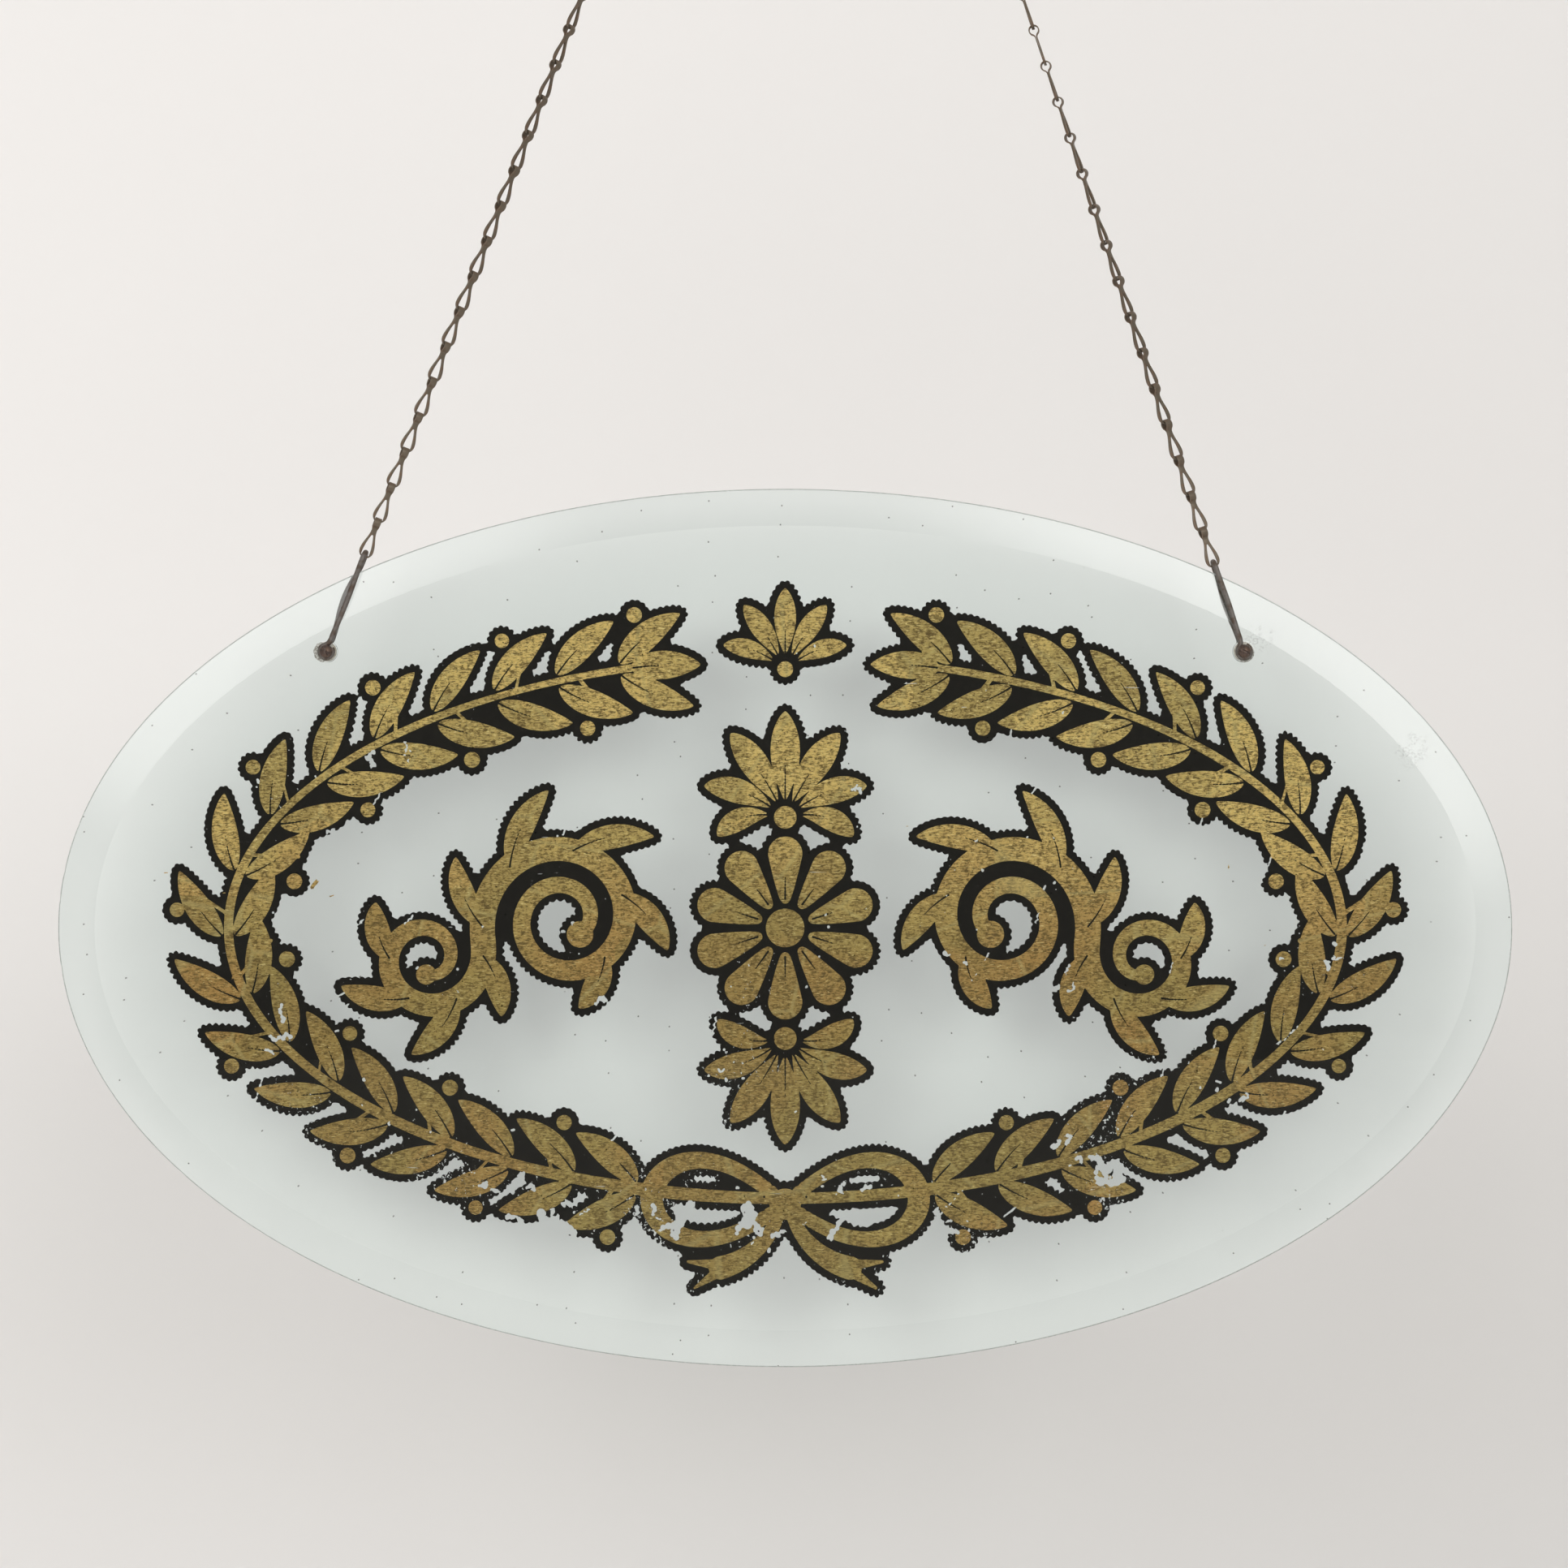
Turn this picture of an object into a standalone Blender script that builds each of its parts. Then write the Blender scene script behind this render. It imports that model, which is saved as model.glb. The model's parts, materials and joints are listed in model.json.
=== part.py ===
"""Painted glass shop sign: an oval bevelled glass hung on two chains of folded sheet links.

Lengths are in metres and angles in degrees. The sign faces -Y, +X is to the right of a person
reading it, and +Z is up. The origin is midway between the two hooks, level with the tops of
their flanges.
"""

import math

import bmesh
import bpy
from mathutils import Matrix, Vector

# Glass: the bevel is on the front, and the holes are set in from the rim above them
GLASS_WIDTH = 1.0
GLASS_HEIGHT = 0.604
GLASS_THICKNESS = 0.006
BEVEL_WIDTH = 0.0255
RIM_THICKNESS = 0.0028
HOLE_DIAMETER = 0.0138
HOLE_SPACING = 0.630
HOLE_SET_IN = 0.0445
GLASS_SHIFT = -0.0118

# Gap between pieces that touch, and the play in which one link rocks on the next
GAP = 0.0003
SEAT_PLAY = 0.00048

# Screws and nuts that pinch the hangers against the glass
SCREW_DIAMETER = 0.0042
SCREW_HEAD_DIAMETER = 0.0094
SCREW_HEAD_HEIGHT = 0.0034
SCREW_TAIL = 0.0022
SLOT_WIDTH = 0.0012
SLOT_DEPTH = 0.0014
SLOT_ANGLES = {"left": 62.0, "right": 24.0}
DOME_ANGLES = (25.0, 48.0, 70.0)
NUT_WIDTH = 0.0080
NUT_THICKNESS = 0.0032

# Wire hangers: a hairpin over the glass, with an eye at the foot of each leg
HANGER_WIRE = 0.0037
FOOT_BEND_RADIUS = 0.0080
EYE_END_ANGLE = 53.0
FRONT_LEG_BOW = 0.0008
BACK_LEG_BOW = -0.0032
BEND_CLEARANCE = 0.0064

# Chain links: a stamped sheet blank folded in half round its ring
LINKS = 16
PITCH = 0.026
SHEET = 0.0008
STRAP_WIDTH = 0.0046
NECK_WIDTH = 0.0037
RING_PLAY = 0.0018
FOLD_RADIUS = 0.0030
LEAF_GAP = 0.00015
HOLE_SIDE_PLAY = 0.0006
HOLE_FOOT_RISE = 0.0010
RIM_WIDTH = 0.0020
BAR_HEIGHT = 0.0015
FOOT_ROUNDING = 0.0052
WEB_LENGTH = 0.0035
TIP_WIDTH = 0.0014
TIP_HEIGHT = 0.0005
FLARE_SHARES = (0.3, 0.55, 0.78)
HOLE_FLANK_SHARE = 0.5
TWIST_AT_HOOK = {"left": 58.0, "right": 88.0}
TWIST_AT_SIGN = 12.0

# Ceiling hooks
HOOK_SPAN = 0.300
HOOK_WIRE = 0.0040
HOOK_BOWL_RADIUS = 0.0080
HOOK_BEND_RADIUS = 0.0030
HOOK_END_ANGLE = 22.0
HOOK_STEM = 0.0020
FLANGE_DIAMETER = 0.0180
FLANGE_THICKNESS = 0.0020
SHANK_LENGTH = 0.0240
SHANK_POINT = 0.0060

# Facets, and the angles at which shading breaks
RIM_STEPS = 112
TURNED_STEPS = 20
HOLE_STEPS = 24
RING_STEPS = 4
FOLD_STEPS = 2
ROUND_STEPS = 3
BEND_STEPS = 9
LEG_STEPS = 6
FOOT_STEPS = 3
EYE_STEPS = 11
HOOK_STEPS = 16
WIRE_STEPS = 2
CREASE = 35.0
SHEET_CREASE = 50.0
WELD = 0.00002

SIDES = {"left": -1, "right": 1}
FRONT = -1
BACK = 1

# Turns an upright shape so that its top points at the reader
LEVEL = (math.pi / 2, 0, 0)


def rim_height(x):
    """Height of the glass's edge above its centre, at a distance to one side of it."""
    return GLASS_HEIGHT / 2 * math.sqrt(1 - (2 * x / GLASS_WIDTH) ** 2)


def hole_foot_height(x):
    """Height of a link's hole above its lowest point, at a distance to one side."""
    return HOLE_FOOT_RISE * (1 - math.sqrt(1 - (x / HOLE_HALF) ** 2))


# What follows from the dimensions above
HOLE_RISE = rim_height(HOLE_SPACING / 2) - HOLE_SET_IN
RING_BORE = HOOK_WIRE + RING_PLAY
HOLE_HALF = STRAP_WIDTH / 2 + HOLE_SIDE_PLAY
EYE_RADIUS = SCREW_DIAMETER / 2 + GAP + HANGER_WIRE / 2
LEG_OFFSET = GLASS_THICKNESS / 2 + GAP + HANGER_WIRE / 2
CLAMP_FACE = GLASS_THICKNESS / 2 + GAP + HANGER_WIRE + GAP

# A strap rests on the two lower corners of the hole, and a wire on the middle of its foot
STRAP_SEAT = hole_foot_height(STRAP_WIDTH / 2) + SEAT_PLAY
HOLE_FOOT = -PITCH - STRAP_SEAT
LINK_FOOT = HOLE_FOOT - BAR_HEIGHT
HANGER_SEAT = STRAP_SEAT - SEAT_PLAY
BEND_DROP = HANGER_SEAT - HANGER_WIRE / 2 + LEG_OFFSET

# A top link's ring rests on two places of the hook's bowl
BOWL_INSIDE = HOOK_BOWL_RADIUS - HOOK_WIRE / 2
RING_SEAT = BOWL_INSIDE - math.sqrt(BOWL_INSIDE**2 - (STRAP_WIDTH / 2) ** 2) + SEAT_PLAY
BOWL_RISE = math.sqrt(HOOK_BOWL_RADIUS**2 + 2 * HOOK_BOWL_RADIUS * HOOK_BEND_RADIUS)
HOOK_DROP = FLANGE_THICKNESS + HOOK_STEM + BOWL_RISE + BOWL_INSIDE - RING_SEAT


def clear_scene():
    for thing in list(bpy.data.objects):
        bpy.data.objects.remove(thing, do_unlink=True)


def material(name, colour, metallic, roughness, transmission=0.0):
    paint = bpy.data.materials.new(name)
    paint.use_nodes = True
    shader = paint.node_tree.nodes["Principled BSDF"]
    shader.inputs["Base Color"].default_value = (*colour, 1.0)
    shader.inputs["Metallic"].default_value = metallic
    shader.inputs["Roughness"].default_value = roughness
    shader.inputs["Transmission Weight"].default_value = transmission
    return paint


def node(name, data, finish, parent=None, place=(0, 0, 0)):
    """A visible piece, with its origin at a place measured from its parent."""
    data.materials.clear()
    data.materials.append(finish)
    piece = bpy.data.objects.new(name, data)
    bpy.context.collection.objects.link(piece)
    piece.parent = parent
    piece.location = place
    return piece


def empty(name, place, parent=None):
    pivot = bpy.data.objects.new(name, None)
    bpy.context.collection.objects.link(pivot)
    pivot.parent = parent
    pivot.location = place
    return pivot


def hidden(helper):
    helper.hide_render = True
    helper.display_type = "WIRE"
    return helper


def smoothed(mesh, angle=CREASE):
    mesh.shade_smooth()
    mesh.set_sharp_from_angle(angle=math.radians(angle))
    return mesh


def finished(name, shape):
    """A mesh from a bmesh, with its faces turned outwards."""
    bmesh.ops.recalc_face_normals(shape, faces=shape.faces)
    mesh = bpy.data.meshes.new(name)
    shape.to_mesh(mesh)
    shape.free()
    return smoothed(mesh)


def turned_mesh(name, profile, closed=False):
    """A solid turned about Z from (radius, height) points. A closed profile makes a ring."""
    shape = bmesh.new()
    rings = []
    for radius, height in profile:
        count = TURNED_STEPS if radius > 0 else 1
        angles = [2 * math.pi * step / TURNED_STEPS for step in range(count)]
        rings.append(
            [shape.verts.new((radius * math.cos(a), radius * math.sin(a), height)) for a in angles]
        )
    pairs = list(zip(rings, rings[1:]))
    if closed:
        pairs.append((rings[-1], rings[0]))
    for lower, upper in pairs:
        for step in range(TURNED_STEPS):
            ahead = (step + 1) % TURNED_STEPS
            corners = [lower[step % len(lower)], lower[ahead % len(lower)]]
            corners += [upper[ahead % len(upper)], upper[step % len(upper)]]
            shape.faces.new(dict.fromkeys(corners))
    return finished(name, shape)


def cylinder_mesh(name, radius, length):
    shape = bmesh.new()
    bmesh.ops.create_cone(
        shape,
        cap_ends=True,
        segments=HOLE_STEPS,
        radius1=radius,
        radius2=radius,
        depth=length,
    )
    return finished(name, shape)


def box_mesh(name, size):
    shape = bmesh.new()
    bmesh.ops.create_cube(shape, size=1.0, matrix=Matrix.Diagonal((*size, 1.0)))
    return finished(name, shape)


def wire_curve(name, points, diameter):
    """A round wire along the points, with closed ends."""
    curve = bpy.data.curves.new(name, "CURVE")
    curve.dimensions = "3D"
    curve.bevel_depth = diameter / 2
    curve.bevel_resolution = WIRE_STEPS
    curve.use_fill_caps = True
    spline = curve.splines.new("POLY")
    spline.points.add(len(points) - 1)
    for point, place in zip(spline.points, points):
        point.co = (*place, 1.0)
    return curve


def baked(guide):
    """The shape that a guide object has after its modifiers, as a mesh of its own."""
    bpy.context.view_layer.update()
    graph = bpy.context.evaluated_depsgraph_get()
    mesh = bpy.data.meshes.new_from_object(guide.evaluated_get(graph))
    bpy.data.objects.remove(guide, do_unlink=True)
    return mesh


def cut(piece, name, cutter_data, place, turn=(0, 0, 0), operation="DIFFERENCE"):
    """A Boolean with a hidden helper, which stands under the same parent as the piece."""
    cutter = bpy.data.objects.new(name, cutter_data)
    bpy.context.collection.objects.link(hidden(cutter))
    cutter.parent = piece.parent
    cutter.location = place
    cutter.rotation_euler = turn
    boolean = piece.modifiers.new(name, "BOOLEAN")
    boolean.operation = operation
    boolean.solver = "EXACT"
    boolean.object = cutter
    return cutter


class Run:
    """One side's straight line from the load point of its hook to its screw."""

    def __init__(self, side, drop):
        hand = SIDES[side]
        self.side = side
        self.hook_x = hand * HOOK_SPAN / 2
        self.screw_x = GLASS_SHIFT + hand * HOLE_SPACING / 2
        aside = self.hook_x - self.screw_x
        length = math.hypot(aside, drop)
        self.up = Vector((aside, 0, drop)) / length
        self.across = Vector((self.up.z, 0, -self.up.x))
        self.hanger_length = length - LINKS * PITCH

    def bend_clearance(self):
        """Height of the hanger's bend above the rim of the glass under it."""
        bend = self.up * self.hanger_length
        offset = self.screw_x - GLASS_SHIFT + bend.x
        return bend.z + HOLE_RISE - rim_height(offset)


def level_drop():
    """Drop from the hooks to the screws at which the shorter hanger just clears the rim."""
    low = LINKS * PITCH
    high = low + GLASS_HEIGHT
    for _ in range(50):
        middle = (low + high) / 2
        clearance = min(Run(side, middle).bend_clearance() for side in SIDES)
        if clearance < BEND_CLEARANCE:
            low = middle
        else:
            high = middle
    return high


def curl(radius, bend_radius, end_angle, bend_steps, curl_steps):
    """(u, v) points of a wire that comes down the v axis, bends aside and curls round 0, 0."""
    foot = math.sqrt(radius**2 + 2 * radius * bend_radius)
    swing = math.atan2(foot, bend_radius)
    points = []
    for step in range(bend_steps + 1):
        angle = -swing * step / bend_steps
        points.append((bend_radius * (math.cos(angle) - 1), foot + bend_radius * math.sin(angle)))
    start = math.pi - swing
    sweep = 2 * math.pi + math.radians(end_angle) - start
    for step in range(1, curl_steps + 1):
        angle = start + sweep * step / curl_steps
        points.append((radius * math.cos(angle), radius * math.sin(angle)))
    return points


def fold_path():
    """(y, z, share) along one leaf from the top of the ring to where the leaves lie flat.

    The ring's facets touch its true circle, with a flat one at the top that rests on the bar.
    The share runs from 0 on the ring to 1 at the neck, and narrows the strap.
    """
    ring = RING_BORE / 2 + SHEET / 2
    leaf = (LEAF_GAP + SHEET) / 2
    turn = math.pi - math.asin((FOLD_RADIUS + leaf) / (ring + FOLD_RADIUS))
    facet = turn / (RING_STEPS + 0.5)
    rows = [(0.0, SHEET / 2, 0.0)]
    for step in range(RING_STEPS):
        angle = facet * (step + 0.5)
        reach = ring / math.cos(facet / 2)
        rows.append((reach * math.sin(angle), reach * math.cos(angle) - RING_BORE / 2, 0.0))
    rows.append((ring * math.sin(turn), ring * math.cos(turn) - RING_BORE / 2, 0.0))
    centre_y = (ring + FOLD_RADIUS) * math.sin(turn)
    centre_z = (ring + FOLD_RADIUS) * math.cos(turn) - RING_BORE / 2
    for step in range(1, FOLD_STEPS + 1):
        share = step / FOLD_STEPS
        angle = turn + (math.pi / 2 - turn) * share
        y = centre_y - FOLD_RADIUS * math.sin(angle)
        z = centre_z - FOLD_RADIUS * math.cos(angle)
        rows.append((y, z, share))
    return rows


def leaf_outline(neck_z):
    """Half of the leaf's outer edge, as (x, z) from its shoulder down to its foot."""
    widest = HOLE_HALF + RIM_WIDTH
    widest_z = LINK_FOOT + FOOT_ROUNDING
    points = []
    for share in FLARE_SHARES:
        flare = (1 - math.cos(math.pi * share)) / 2
        x = NECK_WIDTH / 2 + (widest - NECK_WIDTH / 2) * flare
        points.append((x, neck_z + (widest_z - neck_z) * share))
    for step in range(ROUND_STEPS + 1):
        angle = math.pi / 2 * step / ROUND_STEPS
        points.append((widest * math.cos(angle), widest_z - FOOT_ROUNDING * math.sin(angle)))
    return points


def hole_outline(neck_z):
    """Half of the leaf's hole, with as many points as its outer edge."""
    tip_z = neck_z - WEB_LENGTH
    widest_z = HOLE_FOOT + HOLE_FOOT_RISE
    points = [(0.0, tip_z), (TIP_WIDTH / 2, tip_z - TIP_HEIGHT)]
    swell = 1 - (1 - HOLE_FLANK_SHARE) ** 2
    x = TIP_WIDTH / 2 + (HOLE_HALF - TIP_WIDTH / 2) * swell
    points.append((x, tip_z + (widest_z - tip_z) * HOLE_FLANK_SHARE))
    for step in range(ROUND_STEPS + 1):
        angle = math.pi / 2 * step / ROUND_STEPS
        points.append((HOLE_HALF * math.cos(angle), widest_z - HOLE_FOOT_RISE * math.sin(angle)))
    return points


def half_blank():
    """The middle surface of one folded half of the blank, from the top of the ring down."""
    shape = bmesh.new()
    rows = []
    for y, z, share in fold_path():
        half = (STRAP_WIDTH + (NECK_WIDTH - STRAP_WIDTH) * share) / 2
        rows.append([shape.verts.new((-half, y, z)), shape.verts.new((half, y, z))])
    for above, below in zip(rows, rows[1:]):
        shape.faces.new((above[0], above[1], below[1], below[0]))
    leaf_y, neck_z = fold_path()[-1][:2]
    outer = leaf_outline(neck_z)
    hole = hole_outline(neck_z)
    middle = shape.verts.new((0, leaf_y, outer[0][1]))
    tip = shape.verts.new((0, leaf_y, hole[0][1]))
    foot = shape.verts.new((0, leaf_y, outer[-1][1]))
    hole_foot = shape.verts.new((0, leaf_y, hole[-1][1]))
    shoulders = {}
    for hand in (-1, 1):
        edge = [shape.verts.new((hand * x, leaf_y, z)) for x, z in outer[:-1]] + [foot]
        inside = [shape.verts.new((hand * x, leaf_y, z)) for x, z in hole[1:-1]]
        inside = [tip] + inside + [hole_foot]
        shoulders[hand] = edge[0]
        shape.faces.new((middle, edge[0], tip))
        for upper in range(len(edge) - 1):
            lower = upper + 1
            shape.faces.new((edge[upper], edge[lower], inside[lower], inside[upper]))
    shape.faces.new((rows[-1][0], rows[-1][1], shoulders[1], middle, shoulders[-1]))
    return finished("half_blank", shape)


def link_mesh():
    """The whole link: the half blank mirrored across the fold, then given its thickness."""
    guide = bpy.data.objects.new("link_guide", half_blank())
    bpy.context.collection.objects.link(guide)
    mirror = guide.modifiers.new("other_leaf", "MIRROR")
    mirror.use_axis = (False, True, False)
    mirror.merge_threshold = WELD
    sheet = guide.modifiers.new("sheet", "SOLIDIFY")
    sheet.thickness = SHEET
    sheet.offset = 0.0
    sheet.use_even_offset = True
    return smoothed(baked(guide), SHEET_CREASE)


def hook_mesh(name, stem):
    """Screw shank, flange and bowl in one body, with the top of the flange at 0."""
    shank = HOOK_WIRE / 2
    flange = FLANGE_DIAMETER / 2
    profile = [
        (0, SHANK_LENGTH),
        (shank, SHANK_LENGTH - SHANK_POINT),
        (shank, 0),
        (flange, 0),
        (flange, -FLANGE_THICKNESS),
        (0, -FLANGE_THICKNESS),
    ]
    body = bpy.data.objects.new(name + "_guide", turned_mesh(name, profile))
    bpy.context.collection.objects.link(body)
    bowl = curl(HOOK_BOWL_RADIUS, HOOK_BEND_RADIUS, HOOK_END_ANGLE, FOOT_STEPS, HOOK_STEPS)
    lower = -FLANGE_THICKNESS - stem - bowl[0][1]
    path = [(0, 0, -FLANGE_THICKNESS / 2)]
    path += [(u, 0, v + lower) for u, v in bowl]
    wire = bpy.data.objects.new(name + "_wire", wire_curve(name, path, HOOK_WIRE))
    bpy.context.collection.objects.link(wire)
    joined = cut(body, name + "_bowl", baked(wire), (0, 0, 0), operation="UNION")
    mesh = baked(body)
    bpy.data.objects.remove(joined, do_unlink=True)
    return smoothed(mesh)


class HookStand:
    """Where one hook stands, so that its bowl lies square to the ring of the top link."""

    def __init__(self, run):
        twist = math.radians(TWIST_AT_HOOK[run.side])
        along = run.across * math.cos(twist) + Vector((0, math.sin(twist), 0))
        inward = (Vector((0, 0, 1)) - along * along.z).normalized()
        self.load = Vector((run.hook_x, 0, -HOOK_DROP))
        wire = self.load - run.up * (RING_SEAT + HOOK_WIRE / 2)
        bowl = wire + inward * HOOK_BOWL_RADIUS
        self.stem = -bowl.z - FLANGE_THICKNESS - BOWL_RISE
        self.place = Vector((bowl.x, bowl.y, 0))
        self.turn = math.atan2(along.y, along.x)


def build_hook(run, parent, finish):
    stand = HookStand(run)
    name = run.side + "_ceiling_hook"
    hook = node(name, hook_mesh(name, stand.stem), finish, parent, stand.place)
    hook.rotation_euler = (0, 0, stand.turn)
    return stand


def build_chain(run, load, mesh, finish):
    """The links of one side, each hung from the one above, with its origin on its hinge line."""
    hang = empty(run.side + "_chain", load)
    hang.rotation_euler = (0, math.atan2(run.up.x, run.up.z), 0)
    above = hang
    place = (0, 0, 0)
    top_twist = math.radians(TWIST_AT_HOOK[run.side])
    step = (math.radians(TWIST_AT_SIGN) - top_twist) / (LINKS - 1)
    turn = top_twist
    for number in range(LINKS, 0, -1):
        link = node(f"{run.side}_link_{number:02d}", mesh, finish, above, place)
        link.rotation_euler = (0, 0, turn)
        above = link
        place = (0, 0, -PITCH)
        turn = step


def oval(shape, offset, y):
    """A ring of points on the rim's outline, moved inwards by an offset."""
    points = []
    for step in range(RIM_STEPS):
        angle = 2 * math.pi * step / RIM_STEPS
        x = GLASS_WIDTH / 2 * math.cos(angle)
        z = GLASS_HEIGHT / 2 * math.sin(angle)
        out = Vector((GLASS_HEIGHT * math.cos(angle), GLASS_WIDTH * math.sin(angle)))
        out.normalize()
        points.append(shape.verts.new((x - offset * out.x, y, z - offset * out.y)))
    return points


def glass_mesh():
    """The oval with its front bevel. Its two broad faces stay flat, and its rim is smooth."""
    shape = bmesh.new()
    back = GLASS_THICKNESS / 2
    rings = [
        oval(shape, BEVEL_WIDTH, -back),
        oval(shape, 0, back - RIM_THICKNESS),
        oval(shape, 0, back),
    ]
    for near, far in zip(rings, rings[1:]):
        for step in range(RIM_STEPS):
            ahead = (step + 1) % RIM_STEPS
            shape.faces.new((near[step], near[ahead], far[ahead], far[step]))
    shape.faces.new(rings[0])
    shape.faces.new(rings[-1])
    mesh = finished("glass_panel", shape)
    for face in mesh.polygons:
        face.use_smooth = len(face.vertices) == 4
    return mesh


def build_glass(parent, centre, finish):
    glass = node("glass_panel", glass_mesh(), finish, parent, centre)
    for side, hand in SIDES.items():
        place = centre + Vector((hand * HOLE_SPACING / 2, 0, HOLE_RISE))
        drill = cylinder_mesh(side + "_drill", HOLE_DIAMETER / 2, 2 * GLASS_THICKNESS)
        cut(glass, side + "_hole_cutter", drill, place, LEVEL)


def build_sleeve(side, parent, place, finish):
    """The soft bush that keeps the screw off the edge of the hole."""
    outer = HOLE_DIAMETER / 2 - GAP
    inner = SCREW_DIAMETER / 2 + GAP
    half = GLASS_THICKNESS / 2
    profile = [(outer, -half), (outer, half), (inner, half), (inner, -half)]
    mesh = turned_mesh(side + "_hole_sleeve", profile, closed=True)
    sleeve = node(side + "_hole_sleeve", mesh, finish, parent, place)
    sleeve.rotation_euler = LEVEL


def leg_points(run, face, bow):
    """One leg of a hanger in world directions from its screw, from its bend to its eye's end."""
    eye = curl(EYE_RADIUS, FOOT_BEND_RADIUS, EYE_END_ANGLE, FOOT_STEPS, EYE_STEPS)
    top = run.hanger_length - BEND_DROP
    foot = eye[0][1]
    path = []
    for step in range(LEG_STEPS):
        share = step / LEG_STEPS
        aside = bow * math.sin(math.pi * share) ** 2
        path.append((aside, top + (foot - top) * share))
    path += eye
    offset = Vector((0, face * LEG_OFFSET, 0))
    return [run.across * u + run.up * v + offset for u, v in path]


def bend_points(run):
    """The hairpin's bend, between the tops of its two legs, with its facets on its true arc."""
    centre = run.up * (run.hanger_length - BEND_DROP)
    reach = LEG_OFFSET / math.cos(math.pi / BEND_STEPS / 2)
    points = []
    for step in range(1, BEND_STEPS):
        angle = math.pi * step / BEND_STEPS
        aside = Vector((0, FRONT * reach * math.cos(angle), 0))
        points.append(centre + aside + run.up * reach * math.sin(angle))
    return points


def build_hanger(run, parent, place, finish):
    front = leg_points(run, FRONT, FRONT_LEG_BOW)
    back = leg_points(run, BACK, BACK_LEG_BOW)
    name = run.side + "_hanger"
    curve = wire_curve(name, front[::-1] + bend_points(run) + back, HANGER_WIRE)
    node(name, curve, finish, parent, place)


def build_screw(side, parent, place, finish):
    """A round-headed screw from the front, long enough to pass right through its nut."""
    head = SCREW_HEAD_DIAMETER / 2
    shaft = SCREW_DIAMETER / 2
    length = 2 * CLAMP_FACE + GAP + NUT_THICKNESS + SCREW_TAIL
    profile = [(0, SCREW_HEAD_HEIGHT)]
    for degrees in DOME_ANGLES:
        angle = math.radians(degrees)
        profile.append((head * math.sin(angle), SCREW_HEAD_HEIGHT * math.cos(angle)))
    profile += [(head, 0), (shaft, 0), (shaft, -length + shaft / 2)]
    profile += [(shaft / 2, -length), (0, -length)]
    seat = place + Vector((0, -CLAMP_FACE, 0))
    name = side + "_screw"
    screw = node(name, turned_mesh(name, profile), finish, parent, seat)
    screw.rotation_euler = LEVEL
    slot = box_mesh(side + "_slot", (2 * SCREW_HEAD_DIAMETER, 2 * SLOT_DEPTH, SLOT_WIDTH))
    mouth = seat - Vector((0, SCREW_HEAD_HEIGHT, 0))
    cut(screw, side + "_slot_cutter", slot, mouth, (0, math.radians(SLOT_ANGLES[side]), 0))


def build_nut(side, parent, place, finish):
    """A square nut on the back."""
    size = (NUT_WIDTH, NUT_THICKNESS, NUT_WIDTH)
    middle = place + Vector((0, CLAMP_FACE + GAP + NUT_THICKNESS / 2, 0))
    nut = node(side + "_nut", box_mesh(side + "_nut", size), finish, parent, middle)
    thread = cylinder_mesh(side + "_thread", SCREW_DIAMETER / 2 + GAP, 2 * NUT_THICKNESS)
    cut(nut, side + "_thread_cutter", thread, middle, LEVEL)


def build():
    clear_scene()
    glass = material("bevelled_glass", (0.80, 0.86, 0.83), 0.0, 0.03, 0.9)
    steel = material("browned_steel", (0.09, 0.072, 0.058), 0.8, 0.45)
    screw_steel = material("dark_screw_steel", (0.07, 0.052, 0.045), 0.8, 0.5)
    brass = material("aged_brass", (0.38, 0.27, 0.11), 0.9, 0.35)
    rubber = material("pale_bush", (0.62, 0.60, 0.50), 0.0, 0.7)
    drop = level_drop()
    links = link_mesh()
    fixings = empty("fixings", (0, 0, 0))
    runs = [Run(side, drop) for side in SIDES]
    chain_ends = []
    for run in runs:
        stand = build_hook(run, fixings, brass)
        build_chain(run, stand.load, links, steel)
        chain_ends.append(stand.load - run.up * LINKS * PITCH)
    pivot = (chain_ends[0] + chain_ends[1]) / 2
    sign = empty("sign", pivot)
    screw_height = -HOOK_DROP - drop
    centre = Vector((GLASS_SHIFT, 0, screw_height - HOLE_RISE)) - pivot
    build_glass(sign, centre, glass)
    for run in runs:
        place = Vector((run.screw_x, 0, screw_height)) - pivot
        build_sleeve(run.side, sign, place, rubber)
        build_hanger(run, sign, place, steel)
        build_screw(run.side, sign, place, screw_steel)
        build_nut(run.side, sign, place, screw_steel)


build()
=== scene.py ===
# %% [markdown]
# # A gilded shop glass on two chains
#
# The sign is an oval of thick glass with a ground bevel. Gold leaf and black paint lie on its
# back, so a reader sees them through the glass. Two wire hangers grip it, and each hangs on a
# chain of folded links. This notebook dresses the solid model: every piece is made again with a
# finer surface, set exactly where the solid stands, and finished with node materials. Lengths are
# in metres unless a name says otherwise.

# %% Load the frame
import json
import math

import bmesh
import bpy
import numpy as np
from mathutils import Matrix, Vector
from mathutils.geometry import delaunay_2d_cdt


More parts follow.
